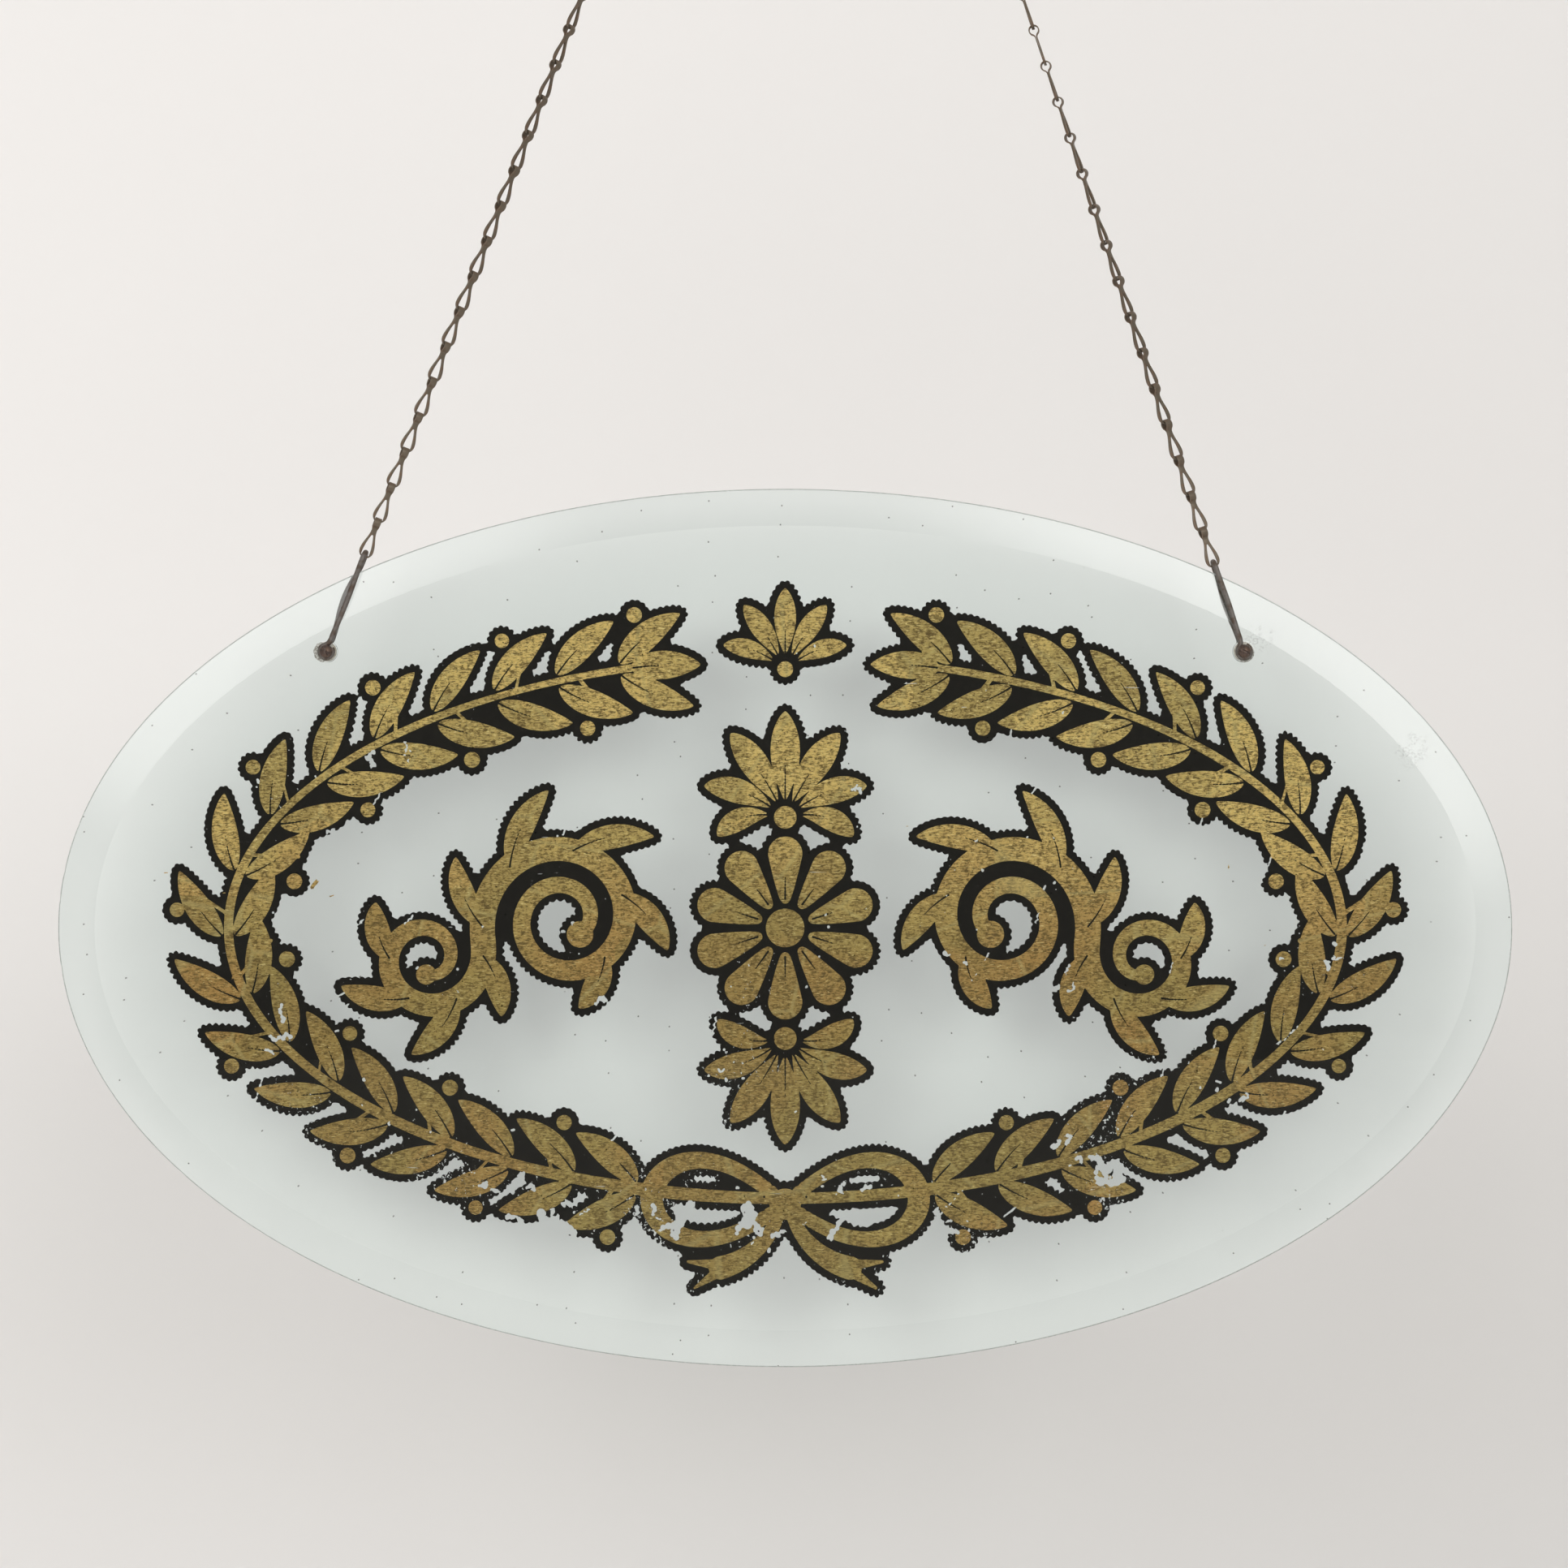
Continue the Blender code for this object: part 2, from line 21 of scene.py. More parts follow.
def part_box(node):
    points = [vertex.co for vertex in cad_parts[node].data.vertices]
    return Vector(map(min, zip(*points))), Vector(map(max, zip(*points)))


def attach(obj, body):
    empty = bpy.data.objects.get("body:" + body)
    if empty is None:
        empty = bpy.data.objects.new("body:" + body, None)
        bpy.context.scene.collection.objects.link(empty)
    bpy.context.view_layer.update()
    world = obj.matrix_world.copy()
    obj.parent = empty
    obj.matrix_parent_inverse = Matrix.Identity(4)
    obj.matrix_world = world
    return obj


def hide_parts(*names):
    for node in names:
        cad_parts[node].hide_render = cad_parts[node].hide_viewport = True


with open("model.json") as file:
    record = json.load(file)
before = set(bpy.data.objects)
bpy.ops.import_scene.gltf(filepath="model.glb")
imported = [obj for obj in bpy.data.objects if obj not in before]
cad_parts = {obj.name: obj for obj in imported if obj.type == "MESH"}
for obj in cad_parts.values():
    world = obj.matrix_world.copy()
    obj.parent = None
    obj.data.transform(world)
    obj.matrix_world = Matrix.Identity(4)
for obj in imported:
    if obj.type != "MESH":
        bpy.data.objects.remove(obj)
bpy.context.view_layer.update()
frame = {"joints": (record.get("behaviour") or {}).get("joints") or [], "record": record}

# %% Places that the solid model gives
SIDES = ("left", "right")

body_of = {}
for body, nodes in frame["record"]["behaviour"]["bodies"].items():
    body_of.update({node: body for node in nodes})
swing_at = {joint["child"]: Vector(joint["pos_m"]) for joint in frame["joints"]}
glass_low, glass_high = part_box("glass_panel")
glass_centre = (glass_low + glass_high) / 2
half_width, half_thick, half_height = (glass_high - glass_low) / 2
screw_at = {}
for side in SIDES:
    low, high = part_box(side + "_screw")
    screw_at[side] = Vector(((low.x + high.x) / 2, 0, (low.z + high.z) / 2))
print("glass", [round(2000 * v, 1) for v in (half_width, half_height, half_thick)], "mm")

# %% [markdown]
# ## The camera
#
# The photograph looks straight at the glass from a few metres away, with the chains leaving at
# the top. A long lens three metres off gives the same flat look. The two screws are easy to find
# in the photograph, so the picture is hung on them: their height sets the camera's height, and
# one pixel is as many metres as the width of the glass divided by its pixels.

# %% Make the camera
PHOTO_SIDE = 1932
PIXEL = 0.0005581
SCREW_ROW = 802.9
GLASS_COLUMN = 967.5
CAMERA_DISTANCE = 3.0
SENSOR_WIDTH = 36.0


def new_object(name, data):
    """An object that holds the data, in the scene."""
    thing = bpy.data.objects.new(name, data)
    bpy.context.scene.collection.objects.link(thing)
    return thing


camera = new_object("camera", bpy.data.cameras.new("camera"))
aim_x = glass_centre.x + (PHOTO_SIDE / 2 - GLASS_COLUMN) * PIXEL
aim_z = screw_at["left"].z - (PHOTO_SIDE / 2 - SCREW_ROW) * PIXEL
camera.location = (aim_x, -CAMERA_DISTANCE, aim_z)
camera.rotation_euler = (math.pi / 2, 0, 0)
camera.data.sensor_width = SENSOR_WIDTH
camera.data.lens = SENSOR_WIDTH * CAMERA_DISTANCE / (PHOTO_SIDE * PIXEL)
bpy.context.scene.camera = camera
bpy.context.scene.view_settings.view_transform = "Standard"
print("lens", round(camera.data.lens, 1), "mm")

# %% [markdown]
# ## Building materials with code
#
# A material is a small web of nodes, and a few short helpers keep it readable. One adds a node
# and fills its sockets with numbers or with other nodes' outputs. Others stand for the commonest
# nodes, so that a mask reads like a sum. The last ones start and place a group, which is a box of
# nodes with named inputs and outputs that several materials can share.

# %% Helpers for nodes
def fill(tree, node, inputs):
    """Fills a node's sockets, each with a value or with another node's output to link."""
    for name, value in inputs.items():
        if isinstance(value, bpy.types.NodeSocket):
            tree.links.new(value, node.inputs[name])
        else:
            node.inputs[name].default_value = value
    return node


def add(tree, kind, inputs=None, **settings):
    """A new shader node with its settings made and its sockets filled."""
    made = tree.nodes.new("ShaderNode" + kind)
    for name, value in settings.items():
        setattr(made, name, value)
    return fill(tree, made, inputs or {})


def sums(tree, operation, first, second=0.0, clamp=False):
    """The result of one Math node."""
    return add(tree, "Math", {0: first, 1: second}, operation=operation, use_clamp=clamp).outputs[0]


def plus(tree, first, second, clamp=False):
    """Two values added. A clamped result stays between 0 and 1."""
    return sums(tree, "ADD", first, second, clamp)


def minus(tree, first, second):
    """The first value less the second."""
    return sums(tree, "SUBTRACT", first, second)


def times(tree, first, second):
    """Two values multiplied."""
    return sums(tree, "MULTIPLY", first, second)


def fade(tree, value, start, end, low=0.0, high=1.0):
    """A soft step: low up to start, high beyond end."""
    wanted = {"Value": value, "From Min": start, "From Max": end, "To Min": low, "To Max": high}
    return add(tree, "MapRange", wanted, interpolation_type="SMOOTHSTEP").outputs[0]


def tint(tree, share, first, second):
    """Two colours mixed by a share."""
    mixed = add(tree, "Mix", {0: share, 6: first, 7: second}, data_type="RGBA", blend_type="MIX")
    return mixed.outputs[2]


print("node helpers ready")


# %% Helpers for patterns
def noise(tree, where, scale, detail=4.0, roughness=0.55, distortion=0.0):
    """Cloudy noise, with so many clouds to a metre."""
    wanted = {"Vector": where, "Scale": scale, "Detail": detail}
    wanted.update({"Roughness": roughness, "Distortion": distortion})
    return add(tree, "TexNoise", wanted).outputs[0]


def stretched(tree, where, turn, size):
    """Coordinates turned in degrees and scaled, for marks that run one way."""
    turns = [math.radians(angle) for angle in turn]
    return add(tree, "Mapping", {"Vector": where, "Rotation": turns, "Scale": size}).outputs[0]


def streaks(tree, where, lean, along, across, detail, roughness, distortion):
    """Noise drawn out into fine lines that lean by an angle in degrees."""
    drawn_out = stretched(tree, where, (0, lean, 0), (along, 1.0, across))
    return noise(tree, drawn_out, 1.0, detail, roughness, distortion)


print("pattern helpers ready")


# %% Helpers for groups and materials
def new_group(name, inputs, outputs):
    """An empty group with its sockets: {name: (type, starting value)} and {name: type}."""
    group = bpy.data.node_groups.new(name, "ShaderNodeTree")
    for label, (kind, value) in inputs.items():
        socket = group.interface.new_socket(label, in_out="INPUT", socket_type="NodeSocket" + kind)
        if value is not None:
            socket.default_value = value
    for label, kind in outputs.items():
        group.interface.new_socket(label, in_out="OUTPUT", socket_type="NodeSocket" + kind)
    given = group.nodes.new("NodeGroupInput").outputs
    return group, given, group.nodes.new("NodeGroupOutput")


def use_group(tree, name, inputs):
    """A group placed in a material, with that material's own values. These are its outputs."""
    node = tree.nodes.new("ShaderNodeGroup")
    node.node_tree = bpy.data.node_groups[name]
    return fill(tree, node, inputs).outputs


def new_material(name):
    """A material with its tree, its Principled shader and the piece's own coordinates."""
    made = bpy.data.materials.new(name)
    made.use_nodes = True
    tree = made.node_tree
    where = add(tree, "TexCoord").outputs["Object"]
    return made, tree, tree.nodes["Principled BSDF"], where


def bumped(tree, height, strength, distance):
    """A surface direction that a height has tilted."""
    wanted = {"Height": height, "Strength": strength, "Distance": distance}
    return add(tree, "Bump", wanted).outputs[0]


def mixed_surface(tree, share, first, second):
    """Two shaders mixed by a share, as the material's surface."""
    mixed = add(tree, "MixShader", {0: share, 1: first.outputs[0], 2: second.outputs[0]})
    fill(tree, tree.nodes["Material Output"], {"Surface": mixed.outputs[0]})


print("group and material helpers ready")

# %% [markdown]
# ## The room
#
# The photograph has a warm, nearly white backdrop and soft light. The glass hangs a hand's width
# in front of that backdrop, so the gilding throws a soft grey shade on it, which shows through
# the glass. The sign also swings, so a solid wall that near would cut it off at the end of its
# swing. So there are two: a wall well behind, and a veil just behind the glass that only a look
# through the glass can see. Both are matt, and both carry a painted shade that deepens their
# colour towards the lower right. The veil also glows with a painted light of its own, which lifts
# the shade on it. In a mirror the floor darkens far in front, behind the photographer, so that the
# glass has little to reflect there. For a look from behind or from a side, the far floor and wall
# run into the colour of the world, so that no edge of them shows.

# %% The colour of the backdrop
WORLD_COLOUR = (0.83, 0.80, 0.77, 1)
# A lit and a shaded tone of the same wall: the shaded one is painted shade.
LIT_WALL = (0.868, 0.852, 0.840, 1)
SHADED_WALL = (0.752, 0.738, 0.726, 1)
DIM_FLOOR = (0.22, 0.215, 0.21, 1)
VEIL_GLOW = (0.885, 0.880, 0.865, 1)
UNLIT = (0, 0, 0, 1)


def backdrop_finish(name, only_through_glass, tone, own_light=0.0):
    """Matt warm white, with a painted shade deeper to the lower right; the camera doesn't see it
    from behind.
    """
    made, tree, shader, where = new_material(name)
    surface = add(tree, "NewGeometry").outputs
    place = add(tree, "SeparateXYZ", {"Vector": surface["Position"]}).outputs
    ray = add(tree, "LightPath").outputs
    # Painted shade: the colour deepens from the upper left towards the lower right.
    slope = minus(tree, place["X"], times(tree, place["Z"], 1.2))
    cloud = times(tree, noise(tree, where, 1.3, 2.0), 0.35)
    share = plus(tree, fade(tree, slope, -1.3, 3.2), minus(tree, cloud, 0.17), clamp=True)
    kept = tone * (1 - own_light)
    colour = tint(tree, share, [v * kept for v in LIT_WALL], [v * kept for v in SHADED_WALL])
    mirrored = sums(tree, "MINIMUM", ray["Glossy Depth"], 1.0)
    far_front = times(tree, mirrored, fade(tree, place["Y"], -2.0, -4.0))
    colour = tint(tree, far_front, colour, DIM_FLOOR)
    if only_through_glass:
        seen = times(tree, ray["Is Transmission Ray"], minus(tree, 1.0, surface["Backfacing"]))
        clear = minus(tree, 1.0, seen)
        # The veil's own glow is painted light that lifts the shade on it.
        glow, strength = VEIL_GLOW, own_light
    else:
        looked = plus(tree, ray["Is Camera Ray"], ray["Is Transmission Ray"], clamp=True)
        clear = times(tree, surface["Backfacing"], looked)
        aside = sums(tree, "ABSOLUTE", place["X"])
        far = fade(tree, sums(tree, "MAXIMUM", aside, times(tree, place["Y"], -1.0)), 1.0, 4.0)
        far = times(tree, far, times(tree, looked, minus(tree, 1.0, mirrored)))
        colour = tint(tree, far, colour, UNLIT)
        glow, strength = tint(tree, far, UNLIT, WORLD_COLOUR), 1.0
    fill(tree, shader, {"Base Color": colour, "Roughness": 0.95, "Specular IOR Level": 0.1})
    fill(tree, shader, {"Emission Color": glow, "Emission Strength": strength})
    mixed_surface(tree, clear, shader, add(tree, "BsdfTransparent"))
    return made


wall_finish = backdrop_finish("warm_white_wall", False, 0.95)
print("wall finish:", len(wall_finish.node_tree.nodes), "nodes")

# %% Wall and floor in one sweep
WALL_Y = 0.72
WALL_TOP = 2.4
WALL_FOOT = 0.5
FLOOR_Z = -1.45
SWEEP = 0.35
SWEEP_STEPS = 12
ROOM_COLUMNS = (-8.0, -1.2, 0, 1.2, 8.0)
ROOM_FRONT = -11.0


def bridge(shape, near, far, round_trip=True):
    """Faces between two rows of points. A row of one point closes the shape there."""
    count = max(len(near), len(far))
    for step in range(count if round_trip else count - 1):
        ahead = (step + 1) % count
        corners = [near[step % len(near)], near[ahead % len(near)]]
        corners += [far[ahead % len(far)], far[step % len(far)]]
        shape.faces.new(dict.fromkeys(corners))


def sheet_object(name, rows, finish):
    """A staged sheet made of rows of points, from the top row down."""
    shape = bmesh.new()
    grid = [[shape.verts.new(point) for point in row] for row in rows]
    for upper, lower in zip(grid, grid[1:]):
        bridge(shape, lower, upper, round_trip=False)
    mesh = bpy.data.meshes.new(name)
    shape.to_mesh(mesh)
    shape.free()
    mesh.shade_smooth()
    mesh.materials.append(finish)
    new_object(name, mesh)


profile = [(WALL_Y, WALL_TOP), (WALL_Y, WALL_FOOT)]
for step in range(SWEEP_STEPS + 1):
    angle = math.pi / 2 * step / SWEEP_STEPS
    ahead, down = SWEEP * (1 - math.cos(angle)), SWEEP * (1 - math.sin(angle))
    profile.append((WALL_Y - ahead, FLOOR_Z + down))
profile.append((ROOM_FRONT, FLOOR_Z))
sheet_object("room_sweep", [[(x, y, z) for x in ROOM_COLUMNS] for y, z in profile], wall_finish)
print("wall at y =", WALL_Y)

# %% The veil behind the glass
VEIL_Y = 0.065
# Painted light: the veil glows with a light of its own, which lifts the shade on it.
VEIL_LIGHT = 0.44
VEIL_HALF_WIDTH, VEIL_HALF_HEIGHT = 0.66, 0.46

veil_rows = []
for z in (VEIL_HALF_HEIGHT, -VEIL_HALF_HEIGHT):
    ends = (-VEIL_HALF_WIDTH, VEIL_HALF_WIDTH)
    veil_rows.append([(glass_centre.x + x, VEIL_Y, glass_centre.z + z) for x in ends])
sheet_object("shade_veil", veil_rows, backdrop_finish("veil_white", True, 1.0, VEIL_LIGHT))
print("veil at y =", VEIL_Y)

# %% [markdown]
# ## The light
#
# A pale world lights everything evenly, but it is dark on the camera's side, as the room behind a
# photographer is. A flat glass mirrors that dark side straight back, so the black paint under it
# stays black; what its back face mirrors leaves it towards that dark side too. Two large soft
# lamps stand in front, high on the left and high on the right, and push the shade of the gilding
# a little downwards. What the polished surfaces mirror is two glows in the world with soft edges:
# the upper bevels lean outwards, so they pick those up as bright bands.

# %% The world
WORLD_LIGHT = 0.44
DARK_SIDE = 0.22
LOW_AIR, HIGH_AIR = (0.66, 0.64, 0.62, 1), (1.0, 0.99, 0.975, 1)
GLOWS = (  # direction, core and rim in degrees, strength
    ((0.315, -1.0, 0.250), 4.0, 16.0, 4.7),
    ((-0.290, -1.0, 0.262), 2.0, 12.0, 4.0),
)

world = bpy.data.worlds.new("pale_room")
bpy.context.scene.world = world
world.use_nodes = True
sky = world.node_tree
sky.nodes.clear()
look = add(sky, "TexCoord").outputs["Generated"]
way = add(sky, "SeparateXYZ", {"Vector": look}).outputs
air = tint(sky, fade(sky, way["Z"], -0.7, 0.8), LOW_AIR, HIGH_AIR)
lit = fade(sky, way["Y"], -0.985, -0.76, DARK_SIDE * WORLD_LIGHT, WORLD_LIGHT)
for aim, core, rim, power in GLOWS:
    ends = {0: look, 1: Vector(aim).normalized()}
    alike = add(sky, "VectorMath", ends, operation="DOT_PRODUCT").outputs["Value"]
    near, wide = math.cos(math.radians(core)), math.cos(math.radians(rim))
    lit = plus(sky, lit, fade(sky, alike, wide, near, 0.0, power))
even = add(sky, "Background", {"Color": air, "Strength": lit})
plain = add(sky, "Background", {"Color": WORLD_COLOUR, "Strength": 1.0})
ray = add(sky, "LightPath").outputs
unmirrored = sums(sky, "LESS_THAN", ray["Glossy Depth"], 0.5)
through = times(sky, ray["Is Transmission Ray"], unmirrored)
looked = plus(sky, ray["Is Camera Ray"], through, clamp=True)
mixed = add(sky, "MixShader", {0: looked, 1: even.outputs[0], 2: plain.outputs[0]})
add(sky, "OutputWorld", {"Surface": mixed.outputs[0]})
print("world of", len(sky.nodes), "nodes")


# %% The lamps
def soft_lamp(name, place, size, power, colour):
    """A wide lamp aimed at the glass, which no look, lens or mirror shows."""
    light = bpy.data.lights.new(name, "AREA")
    light.shape = "RECTANGLE"
    light.size, light.size_y = size
    light.energy = power
    light.color = colour
    lamp = new_object(name, light)
    lamp.location = place
    lamp.rotation_euler = (glass_centre - Vector(place)).to_track_quat("-Z", "Y").to_euler()
    lamp.visible_camera = lamp.visible_transmission = lamp.visible_glossy = False


soft_lamp("left_softbox", (-1.75, -2.5, 0.75), (1.5, 1.7), 43.0, (1.0, 0.985, 0.965))
soft_lamp("right_softbox", (1.7, -2.6, 0.65), (1.3, 2.0), 30.0, (1.0, 0.99, 0.975))
print("two soft lamps")

# %% [markdown]
# ## Browned metal
#
# The chain, the hangers and the screws have gone dark brown-grey with handling and age. Blotches
# of browner oxide sit on grey steel, edges are rubbed a little brighter, and the surface is
# finely pitted. One group gives all of that for any metal: two tones, a blotch size, an edge
# tone, and a height for the pits. Each metal then places it with its own values.

# %% The patina group
PATINA_GRIME = (0.02, 0.016, 0.013, 1)

group, given, leave = new_group(
    "Patina",
    {
        "Where": ("Vector", None),
        "Ground": ("Color", (0.1, 0.08, 0.07, 1)),
        "Blotch": ("Color", (0.13, 0.09, 0.06, 1)),
        "Rubbed": ("Color", (0.3, 0.27, 0.24, 1)),
        "Blotch Scale": ("Float", 300.0),
        "Edge Radius": ("Float", 0.0003),
        "Rub": ("Float", 0.6),
        "Dullness": ("Float", 0.48),
    },
    {"Colour": "Color", "Roughness": "Float", "Height": "Float"},
)
blotches = noise(group, given["Where"], given["Blotch Scale"], 5.0, 0.6)
specks = noise(group, given["Where"], times(group, given["Blotch Scale"], 6.0), 3.0)
colour = tint(group, fade(group, blotches, 0.42, 0.62), given["Ground"], given["Blotch"])
colour = tint(group, fade(group, specks, 0.60, 0.72, 0.0, 0.55), colour, PATINA_GRIME)
softened = add(group, "Bevel", {"Radius": given["Edge Radius"]}, samples=4)
facing = {0: softened.outputs[0], 1: add(group, "NewGeometry").outputs["Normal"]}
alike = add(group, "VectorMath", facing, operation="DOT_PRODUCT").outputs["Value"]
rub = times(group, fade(group, alike, 0.985, 0.90), fade(group, blotches, 0.35, 0.6))
rub = times(group, rub, given["Rub"])
colour = tint(group, rub, colour, given["Rubbed"])
rough = plus(group, fade(group, blotches, 0.3, 0.7, -0.10, 0.10), times(group, rub, -0.12))
rough = plus(group, rough, given["Dullness"])
height = plus(group, blotches, times(group, specks, 0.5))
fill(group, leave, {"Colour": colour, "Roughness": rough, "Height": height})
print("patina group:", len(group.nodes), "nodes")


# %% The metals
def aged_metal(name, tones, scale, rub, metallic, relief, edge=0.0003, dullness=0.48):
    """A metal with the patina. Its tones are the ground, the blotches and the rubbed edges."""
    made, tree, shader, where = new_material(name)
    values = {"Where": where, "Ground": tones[0], "Blotch": tones[1], "Rubbed": tones[2]}
    values.update({"Blotch Scale": scale, "Edge Radius": edge, "Rub": rub, "Dullness": dullness})
    skin = use_group(tree, "Patina", values)
    fill(tree, shader, {"Base Color": skin["Colour"], "Roughness": skin["Roughness"]})
    fill(tree, shader, {"Metallic": metallic, "Normal": bumped(tree, skin["Height"], 0.5, relief)})
    return made


chain_steel = aged_metal(
    "browned_chain_steel",
    ((0.165, 0.135, 0.100, 1), (0.190, 0.128, 0.086, 1), (0.42, 0.37, 0.30, 1)),
    scale=260.0, rub=0.6, metallic=0.6, relief=0.00012,
)
wire_steel = aged_metal(
    "greyed_wire_steel",
    ((0.190, 0.172, 0.158, 1), (0.130, 0.098, 0.076, 1), (0.44, 0.40, 0.36, 1)),
    scale=180.0, rub=0.5, metallic=0.65, relief=0.00015,
)
screw_steel = aged_metal(
    "dark_screw_head",
    ((0.100, 0.074, 0.064, 1), (0.150, 0.098, 0.072, 1), (0.40, 0.34, 0.29, 1)),
    scale=420.0, rub=0.8, metallic=0.7, relief=0.00010, dullness=0.34,
)
hook_brass = aged_metal(
    "aged_hook_brass",
    ((0.40, 0.285, 0.12, 1), (0.20, 0.135, 0.062, 1), (0.62, 0.47, 0.22, 1)),
    scale=150.0, rub=0.7, metallic=0.95, relief=0.00010, edge=0.0004,
)
print("four aged metals")

# %% [markdown]
# ## The bush in the hole
#
# A pale bush keeps each screw off the edge of the glass. It is chalky, cracked and stained, so it
# is matt, with yellowed patches and dark dirt in its pits.

# %% The bush and its crust
bush_finish, tree, shader, where = new_material("stained_pale_bush")
stain = noise(tree, where, 320.0, 5.0, 0.6)
pits = noise(tree, where, 1500.0, 3.0)
colour = tint(tree, fade(tree, stain, 0.40, 0.65), (0.66, 0.64, 0.57, 1), (0.45, 0.41, 0.32, 1))
colour = tint(tree, fade(tree, pits, 0.60, 0.72), colour, (0.10, 0.085, 0.07, 1))
relief = bumped(tree, plus(tree, stain, pits), 0.6, 0.0003)
fill(tree, shader, {"Base Color": colour, "Roughness": 0.85, "Normal": relief})

crust_finish, tree, shader, where = new_material("crumbling_crust")
cells = add(tree, "TexVoronoi", {"Vector": where, "Scale": 900.0}, feature="DISTANCE_TO_EDGE")
shaded_cracks = cells.outputs["Distance"]
clots = noise(tree, where, 700.0, 4.0, 0.6)
colour = tint(tree, fade(tree, clots, 0.42, 0.60), (0.56, 0.57, 0.53, 1), (0.26, 0.25, 0.22, 1))
# Painted shade: the cracks are painted almost black.
colour = tint(tree, fade(tree, shaded_cracks, 0.10, 0.02, 0.0, 0.8), colour, (0.07, 0.06, 0.05, 1))
relief = bumped(tree, plus(tree, clots, shaded_cracks), 0.8, 0.0005)
fill(tree, shader, {"Base Color": colour, "Roughness": 0.7, "Normal": relief})
print("bush and crust finishes ready")

# %% [markdown]
# ## Old plate glass
#
# The glass is clear with a faint green-grey cast. It has no colour of its own beyond that, so
# most of its look is what stands behind it and what it mirrors. It does carry the marks of its
# age: specks of dirt, fine rubbing and two patchy scuffs near the edge. The bevel was ground and
# polished, and its glass is tinted a shade greyer as painted shade, for the shade that falls
# behind the rim. The edge itself was only ground. Real glass lets lamplight through, but a ray
# tracer treats glass as opaque to shadow rays. So the material swaps itself for a tinted clear
# shader on those rays only.

# %% The glass marks group
FIRST_SCUFF, SECOND_SCUFF = (0.431, 0, 0.122), (0.326, 0, 0.200)

group, given, leave = new_group(
    "Glass Marks",
    {
        "Where": ("Vector", None),
        "First Scuff": ("Vector", FIRST_SCUFF),
        "Second Scuff": ("Vector", SECOND_SCUFF),
    },
    {"Specks": "Float", "Rubbing": "Float"},
)
where = given["Where"]
upright = {"Vector": stretched(group, where, (90, 0, 0), (1, 1, 1)), "Scale": 42.0}
dots = add(group, "TexVoronoi", upright, voronoi_dimensions="2D").outputs
lone = fade(group, dots["Distance"], 0.026, 0.016)
chosen = fade(group, add(group, "SeparateColor", {0: dots["Color"]}).outputs[0], 0.62, 0.66)
specks = times(group, lone, chosen)
hairs = streaks(group, where, 23, 16.0, 420.0, 2.0, 0.5, 0.4)
others = streaks(group, where, -48, 12.0, 300.0, 2.0, 0.5, 0.3)
patch = fade(group, noise(group, where, 7.0, 3.0), 0.52, 0.68)
hairs, others = fade(group, hairs, 0.70, 0.76), fade(group, others, 0.71, 0.77)
rubbing = times(group, plus(group, hairs, others, clamp=True), patch)
near_scuff = 0.0
for label, reach in (("First Scuff", 0.018), ("Second Scuff", 0.016)):
    away = add(group, "VectorMath", {0: where, 1: given[label]}, operation="DISTANCE")
    close = fade(group, away.outputs["Value"], reach, 0.25 * reach)
    near_scuff = sums(group, "MAXIMUM", near_scuff, close)
blots = fade(group, noise(group, where, 140.0, 3.0, 0.6), 0.48, 0.56)
near_scuff = times(group, near_scuff, blots)
grit = fade(group, noise(group, where, 620.0, 3.0, 0.6), 0.48, 0.62)
grit = times(group, times(group, grit, near_scuff), 0.40)
specks = sums(group, "MAXIMUM", specks, grit)
rubbing = sums(group, "MAXIMUM", rubbing, near_scuff)
fill(group, leave, {"Specks": specks, "Rubbing": rubbing})
print("glass marks group:", len(group.nodes), "nodes")

# %% The ground edge
ground_edge, tree, shader, where = new_material("ground_glass_edge")
grain = noise(tree, where, 900.0, 3.0)
colour = tint(tree, fade(tree, grain, 0.35, 0.7), (0.30, 0.325, 0.31, 1), (0.52, 0.55, 0.53, 1))
relief = bumped(tree, grain, 0.5, 0.0001)
fill(tree, shader, {"Base Color": colour, "Roughness": 0.42, "Normal": relief})
fill(tree, shader, {"Transmission Weight": 0.40})
print("ground edge ready")

# %% The glass material
DIRT = (0.10, 0.09, 0.075, 1)
LAMPLIGHT_THROUGH = (0.86, 0.895, 0.88, 1)


def glass_finish(name, clear):
    """Glass of a clear colour with its marks, which lets lamplight pass."""
    made, tree, shader, where = new_material(name)
    marks = use_group(tree, "Glass Marks", {"Where": where})
    colour = tint(tree, times(tree, marks["Specks"], 0.8), clear, DIRT)
    fill(tree, shader, {"Base Color": colour, "Roughness": times(tree, marks["Rubbing"], 0.10)})
    fill(tree, shader, {"Transmission Weight": 1.0, "IOR": 1.5})
    lamplight = add(tree, "BsdfTransparent", {"Color": LAMPLIGHT_THROUGH})
    shadow_ray = add(tree, "LightPath").outputs["Is Shadow Ray"]
    mixed_surface(tree, shadow_ray, shader, lamplight)
    return made


plate_glass = glass_finish("old_plate_glass", (0.925, 0.968, 0.955, 1))
# The bevel's glass is a greyer copy of the plate glass: painted shade.
shaded_bevel_glass = glass_finish("old_bevel_glass", (0.842, 0.885, 0.872, 1))
print("glass finishes ready")
